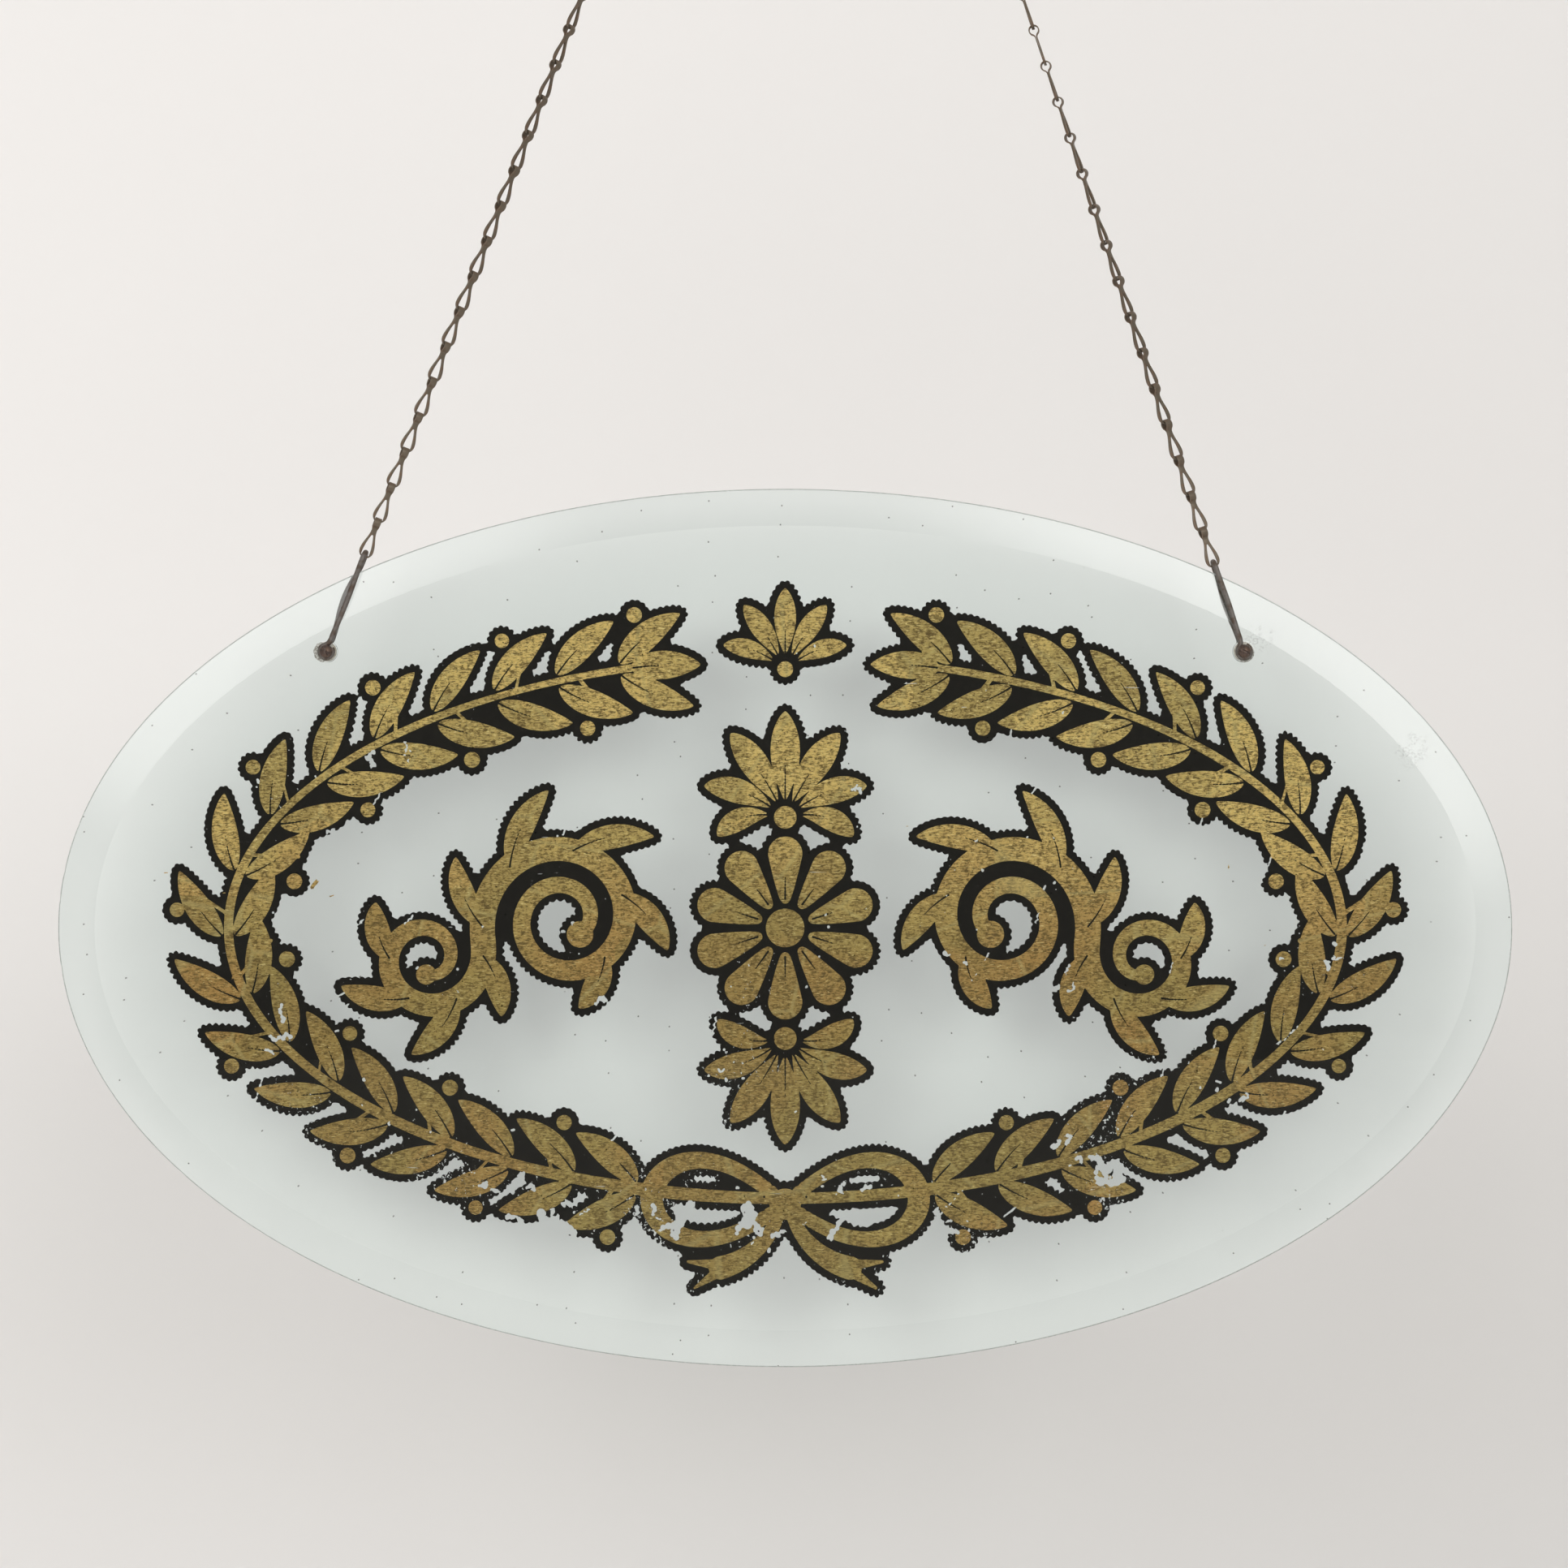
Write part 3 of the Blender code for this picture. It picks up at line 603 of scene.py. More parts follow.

# %% [markdown]
# ## Gold leaf and black paint
#
# The gilder lays leaf on the back of the glass in small squares that lap over each other, and
# backs and edges it with black. The leaf is not an even gold: each square has its own tone, the
# laps show as faint lines, and the leaf is wrinkled and brushed. The hollows of the wrinkles are
# darkened with painted shade, the brushing shows as painted sheen, and the upper leaves are painted
# brighter as a painted highlight. With age both layers flake, most in the lower part, and fine
# scratches cross them. The flaking is one group, so gold and black are lost at the same spots.

# %% The flaking group
group, given, leave = new_group(
    "Flaking",
    {"Where": ("Vector", None), "Loss": ("Float", 0.0)},
    {"Kept": "Float"},
)
where = given["Where"]
height_up = add(group, "SeparateXYZ", {"Vector": where}).outputs["Z"]
lower = times(group, fade(group, height_up, 0.06, -0.20), 0.45)
regions = noise(group, where, 16.0, 2.0)
bare = times(group, plus(group, fade(group, regions, 0.46, 0.66), lower), 0.11)
flakes = noise(group, where, 330.0, 5.0, 0.62)
lost = plus(group, flakes, plus(group, bare, given["Loss"]))
lines = fade(group, streaks(group, where, 35, 22.0, 520.0, 3.0, 0.5, 0.8), 0.745, 0.755)
crossing = fade(group, streaks(group, where, -52, 18.0, 460.0, 3.0, 0.5, 0.6), 0.75, 0.76)
scored = plus(group, lines, crossing, clamp=True)
scored = times(group, scored, fade(group, regions, 0.50, 0.58))
gone = plus(group, fade(group, lost, 0.775, 0.785), scored, clamp=True)
fill(group, leave, {"Kept": minus(group, 1.0, gone)})
print("flaking group:", len(group.nodes), "nodes")

# %% The leaf group
group, given, leave = new_group(
    "Leaf Laps",
    {"Where": ("Vector", None), "Square": ("Float", 12.0)},
    {"Tone": "Float", "Lap": "Float", "Wrinkle": "Float", "Brushing": "Float"},
)
where = given["Where"]
placed = {"Vector": where, "Scale": given["Square"]}
squares = add(group, "TexVoronoi", placed, distance="CHEBYCHEV")
tone = add(group, "SeparateColor", {0: squares.outputs["Color"]}).outputs[0]
edges = add(group, "TexVoronoi", placed, feature="DISTANCE_TO_EDGE")
lap = fade(group, edges.outputs["Distance"], 0.022, 0.003)
fibres = streaks(group, where, 38, 250.0, 1050.0, 4.0, 0.62, 0.9)
crossed = streaks(group, where, -44, 210.0, 900.0, 4.0, 0.62, 0.9)
swirls = noise(group, where, 210.0, 6.0, 0.68, 1.4)
wrinkle = plus(group, times(group, fibres, 0.34), times(group, swirls, 0.36))
wrinkle = plus(group, wrinkle, times(group, crossed, 0.30))
fibres, crossed = fade(group, fibres, 0.56, 0.72), fade(group, crossed, 0.58, 0.74)
brushing = sums(group, "MAXIMUM", fibres, crossed)
fill(group, leave, {"Tone": tone, "Lap": lap, "Wrinkle": wrinkle, "Brushing": brushing})
print("leaf group:", len(group.nodes), "nodes")

# %% The gold
LEAF_SQUARES = 12.0
# The bright gold is a painted highlight, laid on the upper leaves.
RED_GOLD, GREEN_GOLD, TOP_LIT_GOLD = (
    (0.500, 0.272, 0.076, 1), (0.470, 0.318, 0.092, 1), (0.860, 0.590, 0.195, 1),
)
# The wrinkle brown is painted shade in the wrinkles' hollows, and the brushed gold a painted sheen.
DULL_GOLD, WRINKLE_SHADE_BROWN = (0.370, 0.260, 0.076, 1), (0.150, 0.088, 0.020, 1)
BRUSHED_SHEEN_GOLD, LAP_GOLD = (0.880, 0.700, 0.310, 1), (0.58, 0.45, 0.18, 1)

gold_leaf, tree, shader, where = new_material("gold_leaf")
laps = use_group(tree, "Leaf Laps", {"Where": where, "Square": LEAF_SQUARES})
warm = noise(tree, where, 9.0, 3.0, 0.5, 0.4)
height_up = add(tree, "SeparateXYZ", {"Vector": where}).outputs["Z"]
# Painted highlight: the gold is painted brighter towards the top.
painted_top_light = plus(tree, height_up, times(tree, noise(tree, where, 5.0, 2.0), 0.14))
painted_top_light = fade(tree, painted_top_light, 0.03, 0.18)
colour = tint(tree, fade(tree, warm, 0.40, 0.58), GREEN_GOLD, RED_GOLD)
colour = tint(tree, times(tree, painted_top_light, 0.85), colour, TOP_LIT_GOLD)
colour = tint(tree, fade(tree, laps["Tone"], 0.1, 0.9, 0.0, 0.6), colour, DULL_GOLD)
# Painted shade: the hollows of the wrinkles are painted brown.
colour = tint(tree, fade(tree, laps["Wrinkle"], 0.54, 0.43), colour, WRINKLE_SHADE_BROWN)
# Painted sheen: the brushing is painted in brighter gold, most towards the top.
sheen_streak = plus(tree, 0.6, times(tree, painted_top_light, 0.4))
sheen_streak = times(tree, fade(tree, laps["Brushing"], 0.1, 0.8), sheen_streak)
colour = tint(tree, sheen_streak, colour, BRUSHED_SHEEN_GOLD)
colour = tint(tree, times(tree, laps["Lap"], 0.35), colour, LAP_GOLD)
rough = fade(tree, laps["Wrinkle"], 0.35, 0.65, 0.34, 0.52)
relief = bumped(tree, laps["Wrinkle"], 0.5, 0.0005)
kept = use_group(tree, "Flaking", {"Where": where, "Loss": 0.0})["Kept"]
fill(tree, shader, {"Base Color": colour, "Roughness": rough, "Metallic": 0.35})
fill(tree, shader, {"Normal": relief, "Alpha": kept})
print("gold leaf:", len(tree.nodes), "nodes")

# %% The black
DEEP_BLACK, WORN_BLACK = (0.0122, 0.0100, 0.0082, 1), (0.0162, 0.0136, 0.0112, 1)

black_paint, tree, shader, where = new_material("black_backing_paint")
dull = noise(tree, where, 240.0, 4.0)
colour = tint(tree, fade(tree, dull, 0.45, 0.7), DEEP_BLACK, WORN_BLACK)
rough = fade(tree, dull, 0.3, 0.7, 0.60, 0.80)
relief = bumped(tree, noise(tree, where, 700.0, 3.0), 0.15, 0.0001)
height_up = add(tree, "SeparateXYZ", {"Vector": where}).outputs["Z"]
loss = fade(tree, height_up, 0.0, -0.20, 0.004, 0.060)
kept = use_group(tree, "Flaking", {"Where": where, "Loss": loss})["Kept"]
fill(tree, shader, {"Base Color": colour, "Roughness": rough, "Specular IOR Level": 0.06})
fill(tree, shader, {"Normal": relief, "Alpha": kept})
print("black paint:", len(tree.nodes), "nodes")

# %% [markdown]
# ## Helpers for shapes
#
# Most pieces are a skin over rings of points: a turned piece has its rings one above the other,
# and a bent wire has them square to its path. Booleans then cut and join. Two last helpers bake
# what a modifier makes, and put a mesh in the scene, where it gets its finish, its body and its
# solids.

# %% Skins over rings of points
def finished(shape, name, angle=30.0):
    """A smooth-shaded mesh from a bmesh, with the edges above an angle in degrees kept sharp."""
    bmesh.ops.recalc_face_normals(shape, faces=shape.faces)
    mesh = bpy.data.meshes.new(name)
    shape.to_mesh(mesh)
    shape.free()
    mesh.shade_smooth()
    mesh.set_sharp_from_angle(angle=math.radians(angle))
    return mesh


def lofted(name, rows, angle=30.0, looped=False, capped=True):
    """A skin over rings of points, with flat ends, or looped back to its first ring."""
    shape = bmesh.new()
    rings = [[shape.verts.new(point) for point in row] for row in rows]
    for near, far in zip(rings, rings[1:] + (rings[:1] if looped else [])):
        bridge(shape, near, far)
    if capped:
        shape.faces.new(rings[0])
        shape.faces.new(rings[-1])
    return finished(shape, name, angle)


def turned(name, profile, steps, looped=False, angle=30.0):
    """A solid turned about Z from (radius, height) points."""
    turns = [2 * math.pi * step / steps for step in range(steps)]
    rows = []
    for radius, height in profile:
        used = turns if radius > 0 else turns[:1]
        rows.append([(radius * math.cos(a), radius * math.sin(a), height) for a in used])
    return lofted(name, rows, angle, looped, capped=False)


print("skin helpers ready")

# %% Bent wire
END_BREAK = 0.12
END_SIZE = 0.86


def wire(name, path, radius, sides=20):
    """A round wire swept along a path, with its two ends cut square and lightly broken."""
    points = [Vector(point) for point in path]
    after, before = points[1:] + points[-1:], points[:1] + points[:-1]
    ways = [(far - near).normalized() for near, far in zip(before, after)]
    ends = END_BREAK * radius
    points = (
        [points[0], points[0] + ways[0] * ends]
        + points[1:-1]
        + [points[-1] - ways[-1] * ends, points[-1]]
    )
    ways = [ways[0], ways[0]] + ways[1:-1] + [ways[-1], ways[-1]]
    radii = [radius * END_SIZE] + [radius] * (len(points) - 2) + [radius * END_SIZE]
    normal = ways[0].orthogonal().normalized()
    turns = [2 * math.pi * side / sides for side in range(sides)]
    rows = []
    for point, way, size in zip(points, ways, radii):
        normal = (normal - way * normal.dot(way)).normalized()
        other = way.cross(normal)
        rows.append([point + (normal * math.cos(a) + other * math.sin(a)) * size for a in turns])
    return lofted(name, rows, 40.0)


print("wire helper ready")


# %% Booleans, and pieces in the scene
def baked(thing):
    """The object's mesh with its modifiers applied. The object itself goes."""
    bpy.context.view_layer.update()
    graph = bpy.context.evaluated_depsgraph_get()
    mesh = bpy.data.meshes.new_from_object(thing.evaluated_get(graph))
    bpy.data.objects.remove(thing)
    return mesh


def carved(mesh, tool, operation="DIFFERENCE"):
    """The mesh after a Boolean with a tool mesh. Both are in the same coordinates."""
    blank, cutter = new_object("blank", mesh), new_object("cutter", tool)
    boolean = blank.modifiers.new("carve", "BOOLEAN")
    boolean.operation = operation
    boolean.solver = "EXACT"
    boolean.object = cutter
    done = baked(blank)
    bpy.data.objects.remove(cutter)
    return done


def add_piece(name, mesh, finish, body, place, replaced=()):
    """Puts a piece in the scene, where it rides on its body and stands for its solids."""
    if not mesh.materials:
        mesh.materials.append(finish)
    piece = new_object(name, mesh)
    piece.matrix_world = place
    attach(piece, body)
    if replaced:
        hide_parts(*replaced)


print("shape helpers ready")

# %% [markdown]
# ## The glass
#
# The blank is an oval with a flat back. Its front is ground to a bevel about an inch wide, so the
# rim is thinner than the middle, and the sharp arris is taken off. A few small nicks mark the
# rim. The outline is drawn ring by ring, moving each ring inwards square to the rim, which keeps
# the bevel equally wide all round. The two holes are drilled with a Boolean. The two broad faces
# stay flat-shaded, so they mirror like a true plane.

# %% Grind the oval
RIM_STEPS = 480
BEVEL_WIDTH = 0.0255
RIM_THICKNESS = 0.0028
ARRIS = 0.0004
NICKS = 26
NICK_REACH, NICK_DEPTH = (0.0035, 0.010), (0.0001, 0.0006)
GROUND_ANGLE = 3.0

rng = np.random.default_rng(17)
rim_angles = 2 * np.pi * np.arange(RIM_STEPS) / RIM_STEPS
nicks = np.zeros(RIM_STEPS)
for _ in range(NICKS):
    middle = rng.uniform(0, 2 * np.pi)
    reach, depth = rng.uniform(*NICK_REACH), rng.uniform(*NICK_DEPTH)
    away = np.abs((rim_angles - middle + np.pi) % (2 * np.pi) - np.pi)
    nicks = np.maximum(nicks, depth * np.clip(1 - away / reach, 0, 1))


def rim_ring(inset, y):
    """A ring of points moved inwards from the rim, with the nicks only at the very edge."""
    ring = []
    for angle, nick in zip(rim_angles, nicks):
        x, z = half_width * math.cos(angle), half_height * math.sin(angle)
        out = Vector((half_height * math.cos(angle), half_width * math.sin(angle))).normalized()
        moved = inset + (nick if inset < 2 * ARRIS else 0)
        ring.append((x - moved * out.x, y, z - moved * out.y))
    return ring


bevel_slope = (2 * half_thick - RIM_THICKNESS) / BEVEL_WIDTH
rim_front = half_thick - RIM_THICKNESS
rings = [
    rim_ring(BEVEL_WIDTH, -half_thick),
    rim_ring(2 * ARRIS, rim_front - 2 * ARRIS * bevel_slope),
    rim_ring(ARRIS, rim_front),
    rim_ring(0, rim_front + ARRIS),
    rim_ring(0, half_thick - ARRIS),
    rim_ring(ARRIS, half_thick),
]
glass_mesh = lofted("bevelled_oval", rings, GROUND_ANGLE)
print("oval with", NICKS, "nicks in its rim")

# %% Drill the glass and set it in place
HOLE_RADIUS = 0.0069
HOLE_CHAMFER = 0.0005
DRILL_OVER = 0.001
LEVEL = Matrix.Rotation(math.pi / 2, 4, "X")

mouth, drill_end = HOLE_RADIUS + HOLE_CHAMFER, half_thick + DRILL_OVER
drill_profile = [(0, -drill_end), (mouth + DRILL_OVER, -drill_end)]
drill_profile += [(mouth, -half_thick), (HOLE_RADIUS, -half_thick + HOLE_CHAMFER)]
drill_profile += [(radius, -height) for radius, height in drill_profile[::-1]]
for side in SIDES:
    drill = turned("drill", drill_profile, 64)
    drill.transform(Matrix.Translation(screw_at[side] - glass_centre) @ LEVEL)
    glass_mesh = carved(glass_mesh, drill)
for finish in (plate_glass, ground_edge, shaded_bevel_glass):
    glass_mesh.materials.append(finish)
for face in glass_mesh.polygons:
    x, _, z = face.center
    outside = Vector((x / half_width, z / half_height)).length
    slope = Vector((x / half_width**2, z / half_height**2)).length / outside
    from_rim = (1 - outside) / slope
    if len(face.vertices) == 4:
        face.material_index = 1 if from_rim < 2.0 * ARRIS else 2 if from_rim < BEVEL_WIDTH else 0
smooth = [len(face.vertices) == 4 for face in glass_mesh.polygons]
glass_mesh.polygons.foreach_set("use_smooth", smooth)
glass_mesh.set_sharp_from_angle(angle=math.radians(GROUND_ANGLE))
at_glass = Matrix.Translation(glass_centre)
add_piece(
    "bevelled_oval_glass", glass_mesh, plate_glass, "sign",
    at_glass, ["glass_panel"],
)
print("glass:", len(glass_mesh.polygons), "faces")

# %% [markdown]
# ## Drawing the ornament
#
# The ornament is drawn as a sign painter works, with strokes: a leaf is one press and lift of the
# brush. Here a stroke is a row of round dabs whose size swells and shrinks. Each dab lowers a
# sheet of distances, so that afterwards the sheet holds, for each point, how far it lies from the
# nearest painted edge. Cutting that sheet at zero gives the gold, and cutting it a little further
# out gives the black edge with the same round corners a brush leaves. One half is drawn and
# mirrored. Lengths on the sheets are in millimetres, and headings are in degrees.

# %% The drawing sheets
CELL = 0.7
SHEET_HALF = 434.0
SHEET_HIGH = 262.0
FAR = 30.0
REACH = 9.0

sheet_x = np.arange(-SHEET_HALF, SHEET_HALF + CELL / 2, CELL)
sheet_z = np.arange(-SHEET_HIGH, SHEET_HIGH + CELL / 2, CELL)


def blank_sheet():
    """A sheet that lies far from any paint all over."""
    return np.full((len(sheet_z), len(sheet_x)), FAR)


def nearby(place, half, span):
    """The rows or columns of a sheet within a span of a place."""
    first, last = int((place - span + half) / CELL), int((place + span + half) / CELL)
    return slice(max(first, 0), max(last + 2, 0))


def dab(sheet, x, z, radius):
    """Lowers the sheet to the distance from one round dab."""
    span = radius + REACH
    i, j = nearby(x, SHEET_HALF, span), nearby(z, SHEET_HIGH, span)
    away = np.hypot(sheet_x[i][None, :] - x, sheet_z[j][:, None] - z) - radius
    np.minimum(sheet[j, i], away, out=sheet[j, i])


def stroke(sheet, path, halves):
    """A row of dabs along a path, each with its own half width."""
    for (x, z), half in zip(path, halves):
        dab(sheet, x, z, half)


gold_sheet, vein_sheet, wear = blank_sheet(), blank_sheet(), blank_sheet()
print("sheets of", len(sheet_x), "by", len(sheet_z), "cells")


# %% Paths and leaves
def beyond(place, heading, distance):
    """The point at a distance from a place in a heading."""
    angle = math.radians(heading)
    return place[0] + distance * math.cos(angle), place[1] + distance * math.sin(angle)


def bend(start, heading, length, turn=0.0):
    """Points about a millimetre apart along an arc that starts in a heading."""
    count = max(int(length), 8)
    path = [start]
    for step in range(count):
        path.append(beyond(path[-1], heading + turn * (step + 0.5) / count, length / count))
    return path


def round_about(centre, radii, angles):
    """Points round a centre, each with its own radius and its own angle in radians."""
    spokes = zip(radii, angles)
    return [(centre[0] + r * math.cos(a), centre[1] + r * math.sin(a)) for r, a in spokes]


def spiral(centre, outer, inner, start, sweep):
    """Points round a centre from an outer radius in to an inner one."""
    shares = np.linspace(0, 1, int(abs(math.radians(sweep)) * (outer + inner) / 2))
    radii = outer + (inner - outer) * shares**0.85
    return round_about(centre, radii, np.radians(start + sweep * shares))


def leaf(start, heading, length, width, turn=0.0, blunt=0.8):
    """A pointed leaf with a vein down its middle."""
    path = bend(start, heading, length, turn)
    shares = np.linspace(0, 1, len(path))
    stroke(gold_sheet, path, width / 2 * np.sin(np.pi * shares**blunt) ** 0.8)
    vein = path[: int(0.62 * len(path))]
    stroke(vein_sheet, vein, np.linspace(0.75, 0.25, len(vein)))


print("paths and leaves ready")

# %% [markdown]
# ## The design
#
# The ornament is an old standby of glass gilders: a laurel wreath that follows the oval and is
# tied with a bow, a rosette in the middle, a palmette above and below it and a third at the
# wreath's top, and a scroll with leaves on each side. All of it is traditional and belongs to
# nobody. The strokes are about as bold as a thumb is wide, so that the sign reads from across a
# street.

# %% The wreath
WREATH = (383.0, 186.0)
STEM_START, BARE_TIP = 10.0, 76.0
FIRST_LEAF = 104.0
LEAF_STEP = 44.0
LEAF_SIZE = (53.0, 18.0)
LEAF_LEAN, LEAF_TURN = 44, 26
BERRY_LEAN, BERRY_STALK, BERRY = 62, 34, 5.2

fine = np.linspace(-math.pi / 2, math.pi / 2, 4000)
oval_x, oval_z = WREATH[0] * np.cos(fine), WREATH[1] * np.sin(fine)
along = np.concatenate([[0], np.cumsum(np.hypot(np.diff(oval_x), np.diff(oval_z)))])


def on_wreath(distance):
    """Place and heading on the wreath's stem, at a distance from its foot."""
    x, z = (float(np.interp(distance, along, oval)) for oval in (oval_x, oval_z))
    ahead_x, ahead_z = (np.interp(distance + 1.0, along, oval) for oval in (oval_x, oval_z))
    return (x, z), math.degrees(math.atan2(ahead_z - z, ahead_x - x))


leaf_count = int((along[-1] - FIRST_LEAF - BARE_TIP) / LEAF_STEP) + 1
stem_end = FIRST_LEAF + LEAF_STEP * (leaf_count - 1) + 8
stem = [on_wreath(distance)[0] for distance in np.arange(STEM_START, stem_end, 1.0)]
stroke(gold_sheet, stem, np.linspace(4.2, 2.2, len(stem)))
for number in range(leaf_count):
    distance = FIRST_LEAF + LEAF_STEP * number
    place, heading = on_wreath(distance)
    for hand in (-1, 1):
        root = beyond(place, heading + 90 * hand, 5.0)
        leaf(root, heading + LEAF_LEAN * hand, *LEAF_SIZE, -LEAF_TURN * hand)
    place, heading = on_wreath(distance + 0.30 * LEAF_STEP)
    hand = 1 if number % 2 else -1
    stalk = bend(place, heading + BERRY_LEAN * hand, BERRY_STALK)
    stroke(gold_sheet, stalk, np.full(len(stalk), 1.2))
    dab(gold_sheet, *beyond(place, heading + 90 * hand, BERRY_STALK + 2), BERRY)
leaf(*on_wreath(stem_end), 46.0, 19.0, 10)
print(4 * leaf_count + 2, "laurel leaves")

# %% Palmettes and rosette
FANS = ((0, 62, 20, 0), (27, 58, 19, -14), (54, 50, 17, -36), (82, 40, 15, -60))
TOP_PALMETTE = 0.76
ROSETTE_PETALS = 10
PETAL_ROOT, PETAL_LENGTH = 20, 31.0


def palmette(foot, up, size, fans):
    """Leaves that fan out from a foot, the tallest in the middle."""
    for spread, length, width, turn in fans:
        heading = 90 * up - spread * up
        root = beyond(foot, heading, 11 * size)
        leaf(root, heading, length * size, width * size, turn * up, 1.25)
    dab(gold_sheet, *foot, 7.5 * size)


palmette((0, 76), 1, 1.0, FANS)
palmette((0, -76), -1, 1.0, FANS)
palmette((0, 178), 1, TOP_PALMETTE, FANS[:3])
for petal in range(ROSETTE_PETALS // 2 + 1):
    heading = -90 + 360 / ROSETTE_PETALS * petal
    path = bend(beyond((0, 0), heading, PETAL_ROOT), heading, PETAL_LENGTH)
    stroke(gold_sheet, path, 3.5 + 8.2 * np.linspace(0, 1, len(path)) ** 0.8)
    stroke(vein_sheet, path[:20], np.linspace(0.8, 0.3, 20))
dab(gold_sheet, 0, 0, 13.5)
print("three palmettes round a rosette of", ROSETTE_PETALS, "petals")

# %% The bow
BOW = (0.0, -190.0)
BOW_LOOP = 92

shares = np.linspace(0, 1, 170)
loop_radii = BOW_LOOP * np.sin(np.pi * shares) ** 0.5
loop_path = round_about(BOW, loop_radii, np.radians(40 - 74 * shares))
stroke(gold_sheet, loop_path, 5.0 + 2.4 * np.sin(np.pi * shares) ** 2)
tail = bend((BOW[0] + 4, BOW[1] - 6), -72, 58.0, 58)
stroke(gold_sheet, tail, np.linspace(4.0, 8.0, len(tail)))
for hand in (-1, 1):
    prong = bend(tail[-6], -14 + 20 * hand, 27.0)
    stroke(gold_sheet, prong, np.linspace(5.0, 1.0, len(prong)))
dab(gold_sheet, *BOW, 11.0)
dab(vein_sheet, BOW[0] + 14.5, BOW[1] + 5, 0.9)
print("a bow with loops of", BOW_LOOP, "mm")

# %% The scrolls
FIRST_EYE = (152.0, 6.0)
FIRST_OUTER, SECOND_OUTER = 58.0, 40.0
MEETING = -16.0
SPROUTS = ((0.02, 52), (0.10, 60), (0.19, 58), (0.29, 50), (0.40, 40))
OUTER_SPROUTS = ((0.03, 44), (0.15, 50), (0.28, 48), (0.42, 40))

second_eye = beyond(FIRST_EYE, MEETING, FIRST_OUTER + SECOND_OUTER)
first = spiral(FIRST_EYE, FIRST_OUTER, 15.0, MEETING, 600)
second = spiral(second_eye, SECOND_OUTER, 11.0, MEETING + 180, 470)
stroke(gold_sheet, first, np.linspace(9.0, 4.5, len(first)))
stroke(gold_sheet, second, np.linspace(9.0, 3.5, len(second)))
dab(gold_sheet, *first[-1], 9.0)
dab(gold_sheet, *second[-1], 7.0)
for path, sprouts in ((first, SPROUTS), (second, OUTER_SPROUTS)):
    for share, length in sprouts:
        k = int(share * len(path))
        ahead_x, ahead_z = path[k + 2][0] - path[k][0], path[k + 2][1] - path[k][1]
        heading = math.degrees(math.atan2(ahead_z, ahead_x))
        leaf(path[k], heading - 44, length, 17.0, 40, 0.9)
print("two scrolls with", len(SPROUTS) + len(OUTER_SPROUTS), "leaves each")

# %% [markdown]
# ## Wear
#
# Old gilding goes in small ragged flakes, most of them low down, where damp stands longest, and
# in short scratches from cleaning. Each flake is a short walk of dabs on a sheet of its own.
# Where that sheet is painted, gold and black are taken away.

# %% Chips and scratches
BARE_PATCHES = ((-168, -196), (-84, -206), (-26, -204), (222, -166), (48, -196))
CHIP_SITES = (  # across, up, number of chips
    (-150, -204, 9), (-196, -176, 8), (-92, -200, 9), (-22, -214, 7), (36, -176, 5),
    (112, -200, 6), (214, -158, 6), (304, -112, 7), (-40, -104, 4), (-128, -48, 3),
    (196, -34, 4), (236, 34, 3), (-352, -74, 4), (366, -30, 4), (-262, 118, 4),
    (44, 92, 3), (-318, 72, 3), (118, -18, 3),
)
LONE_CHIPS = 170
SCRATCHES = 46

rng = np.random.default_rng(5)


def chip(x, z, steps, size):
    """A ragged flake: dabs along a short walk that keeps changing its mind."""
    heading = rng.uniform(0, 2 * np.pi)
    for _ in range(steps):
        dab(wear, x, z, size * rng.uniform(0.35, 1.0))
        heading += rng.normal(0, 1.1)
        x, z = x + 1.1 * size * math.cos(heading), z + 1.1 * size * math.sin(heading)


for x, z in BARE_PATCHES:
    chip(x, z, 12, 3.4)
    chip(x + 9, z - 7, 8, 2.4)
for x, z, chips in CHIP_SITES:
    for _ in range(chips):
        place = (x + rng.normal(0, 11), z + rng.normal(0, 8))
        chip(*place, int(rng.integers(2, 9)), rng.uniform(0.5, 1.9))
for _ in range(LONE_CHIPS):
    place = (rng.uniform(-400, 400), 230 - 480 * rng.uniform(0, 1) ** 0.6)
    chip(*place, int(rng.integers(1, 4)), rng.uniform(0.35, 0.9))
for _ in range(SCRATCHES):
    start = (rng.uniform(-380, 380), rng.uniform(-230, 120))
    scratch = bend(start, rng.uniform(20, 75), rng.uniform(8, 34), 10)
    stroke(wear, scratch, rng.uniform(0.12, 0.45, len(scratch)))
print("worn away:", round(float((wear < 0).sum()) * CELL**2 / 100), "square centimetres")

# %% [markdown]
# ## From the sheets to outlines
#
# Where a sheet passes a level, an outline runs. Marching squares finds it: each small cell that
# the level crosses gives a short piece, and the pieces join into closed loops. The black edge was
# put on with a brush that left little scallops, so its loops are waved along their length. Where
# two black edges almost meet, the brush ran them together: looking up the highest value within a
# small disc, and cutting as much further out, closes such slits. The small gaps left between two
# leaves and their stem were painted over too. Points that a straight line can replace are then
# dropped.

# %% Mirror the half
gold_sheet = np.minimum(gold_sheet, gold_sheet[:, ::-1])
vein_sheet = np.minimum(vein_sheet, vein_sheet[:, ::-1])
unsteady = np.sin(sheet_x / 37.0 + 1.0)[None, :] * np.cos(sheet_z / 29.0)[:, None]
gold_sheet = gold_sheet + 0.35 * unsteady
slope_z, slope_x = np.gradient(gold_sheet)
print("gold covers", round(float((gold_sheet < 0).sum()) * CELL**2 / 100), "square centimetres")

# %% Trace the outlines
SHORTEST_LOOP = 6


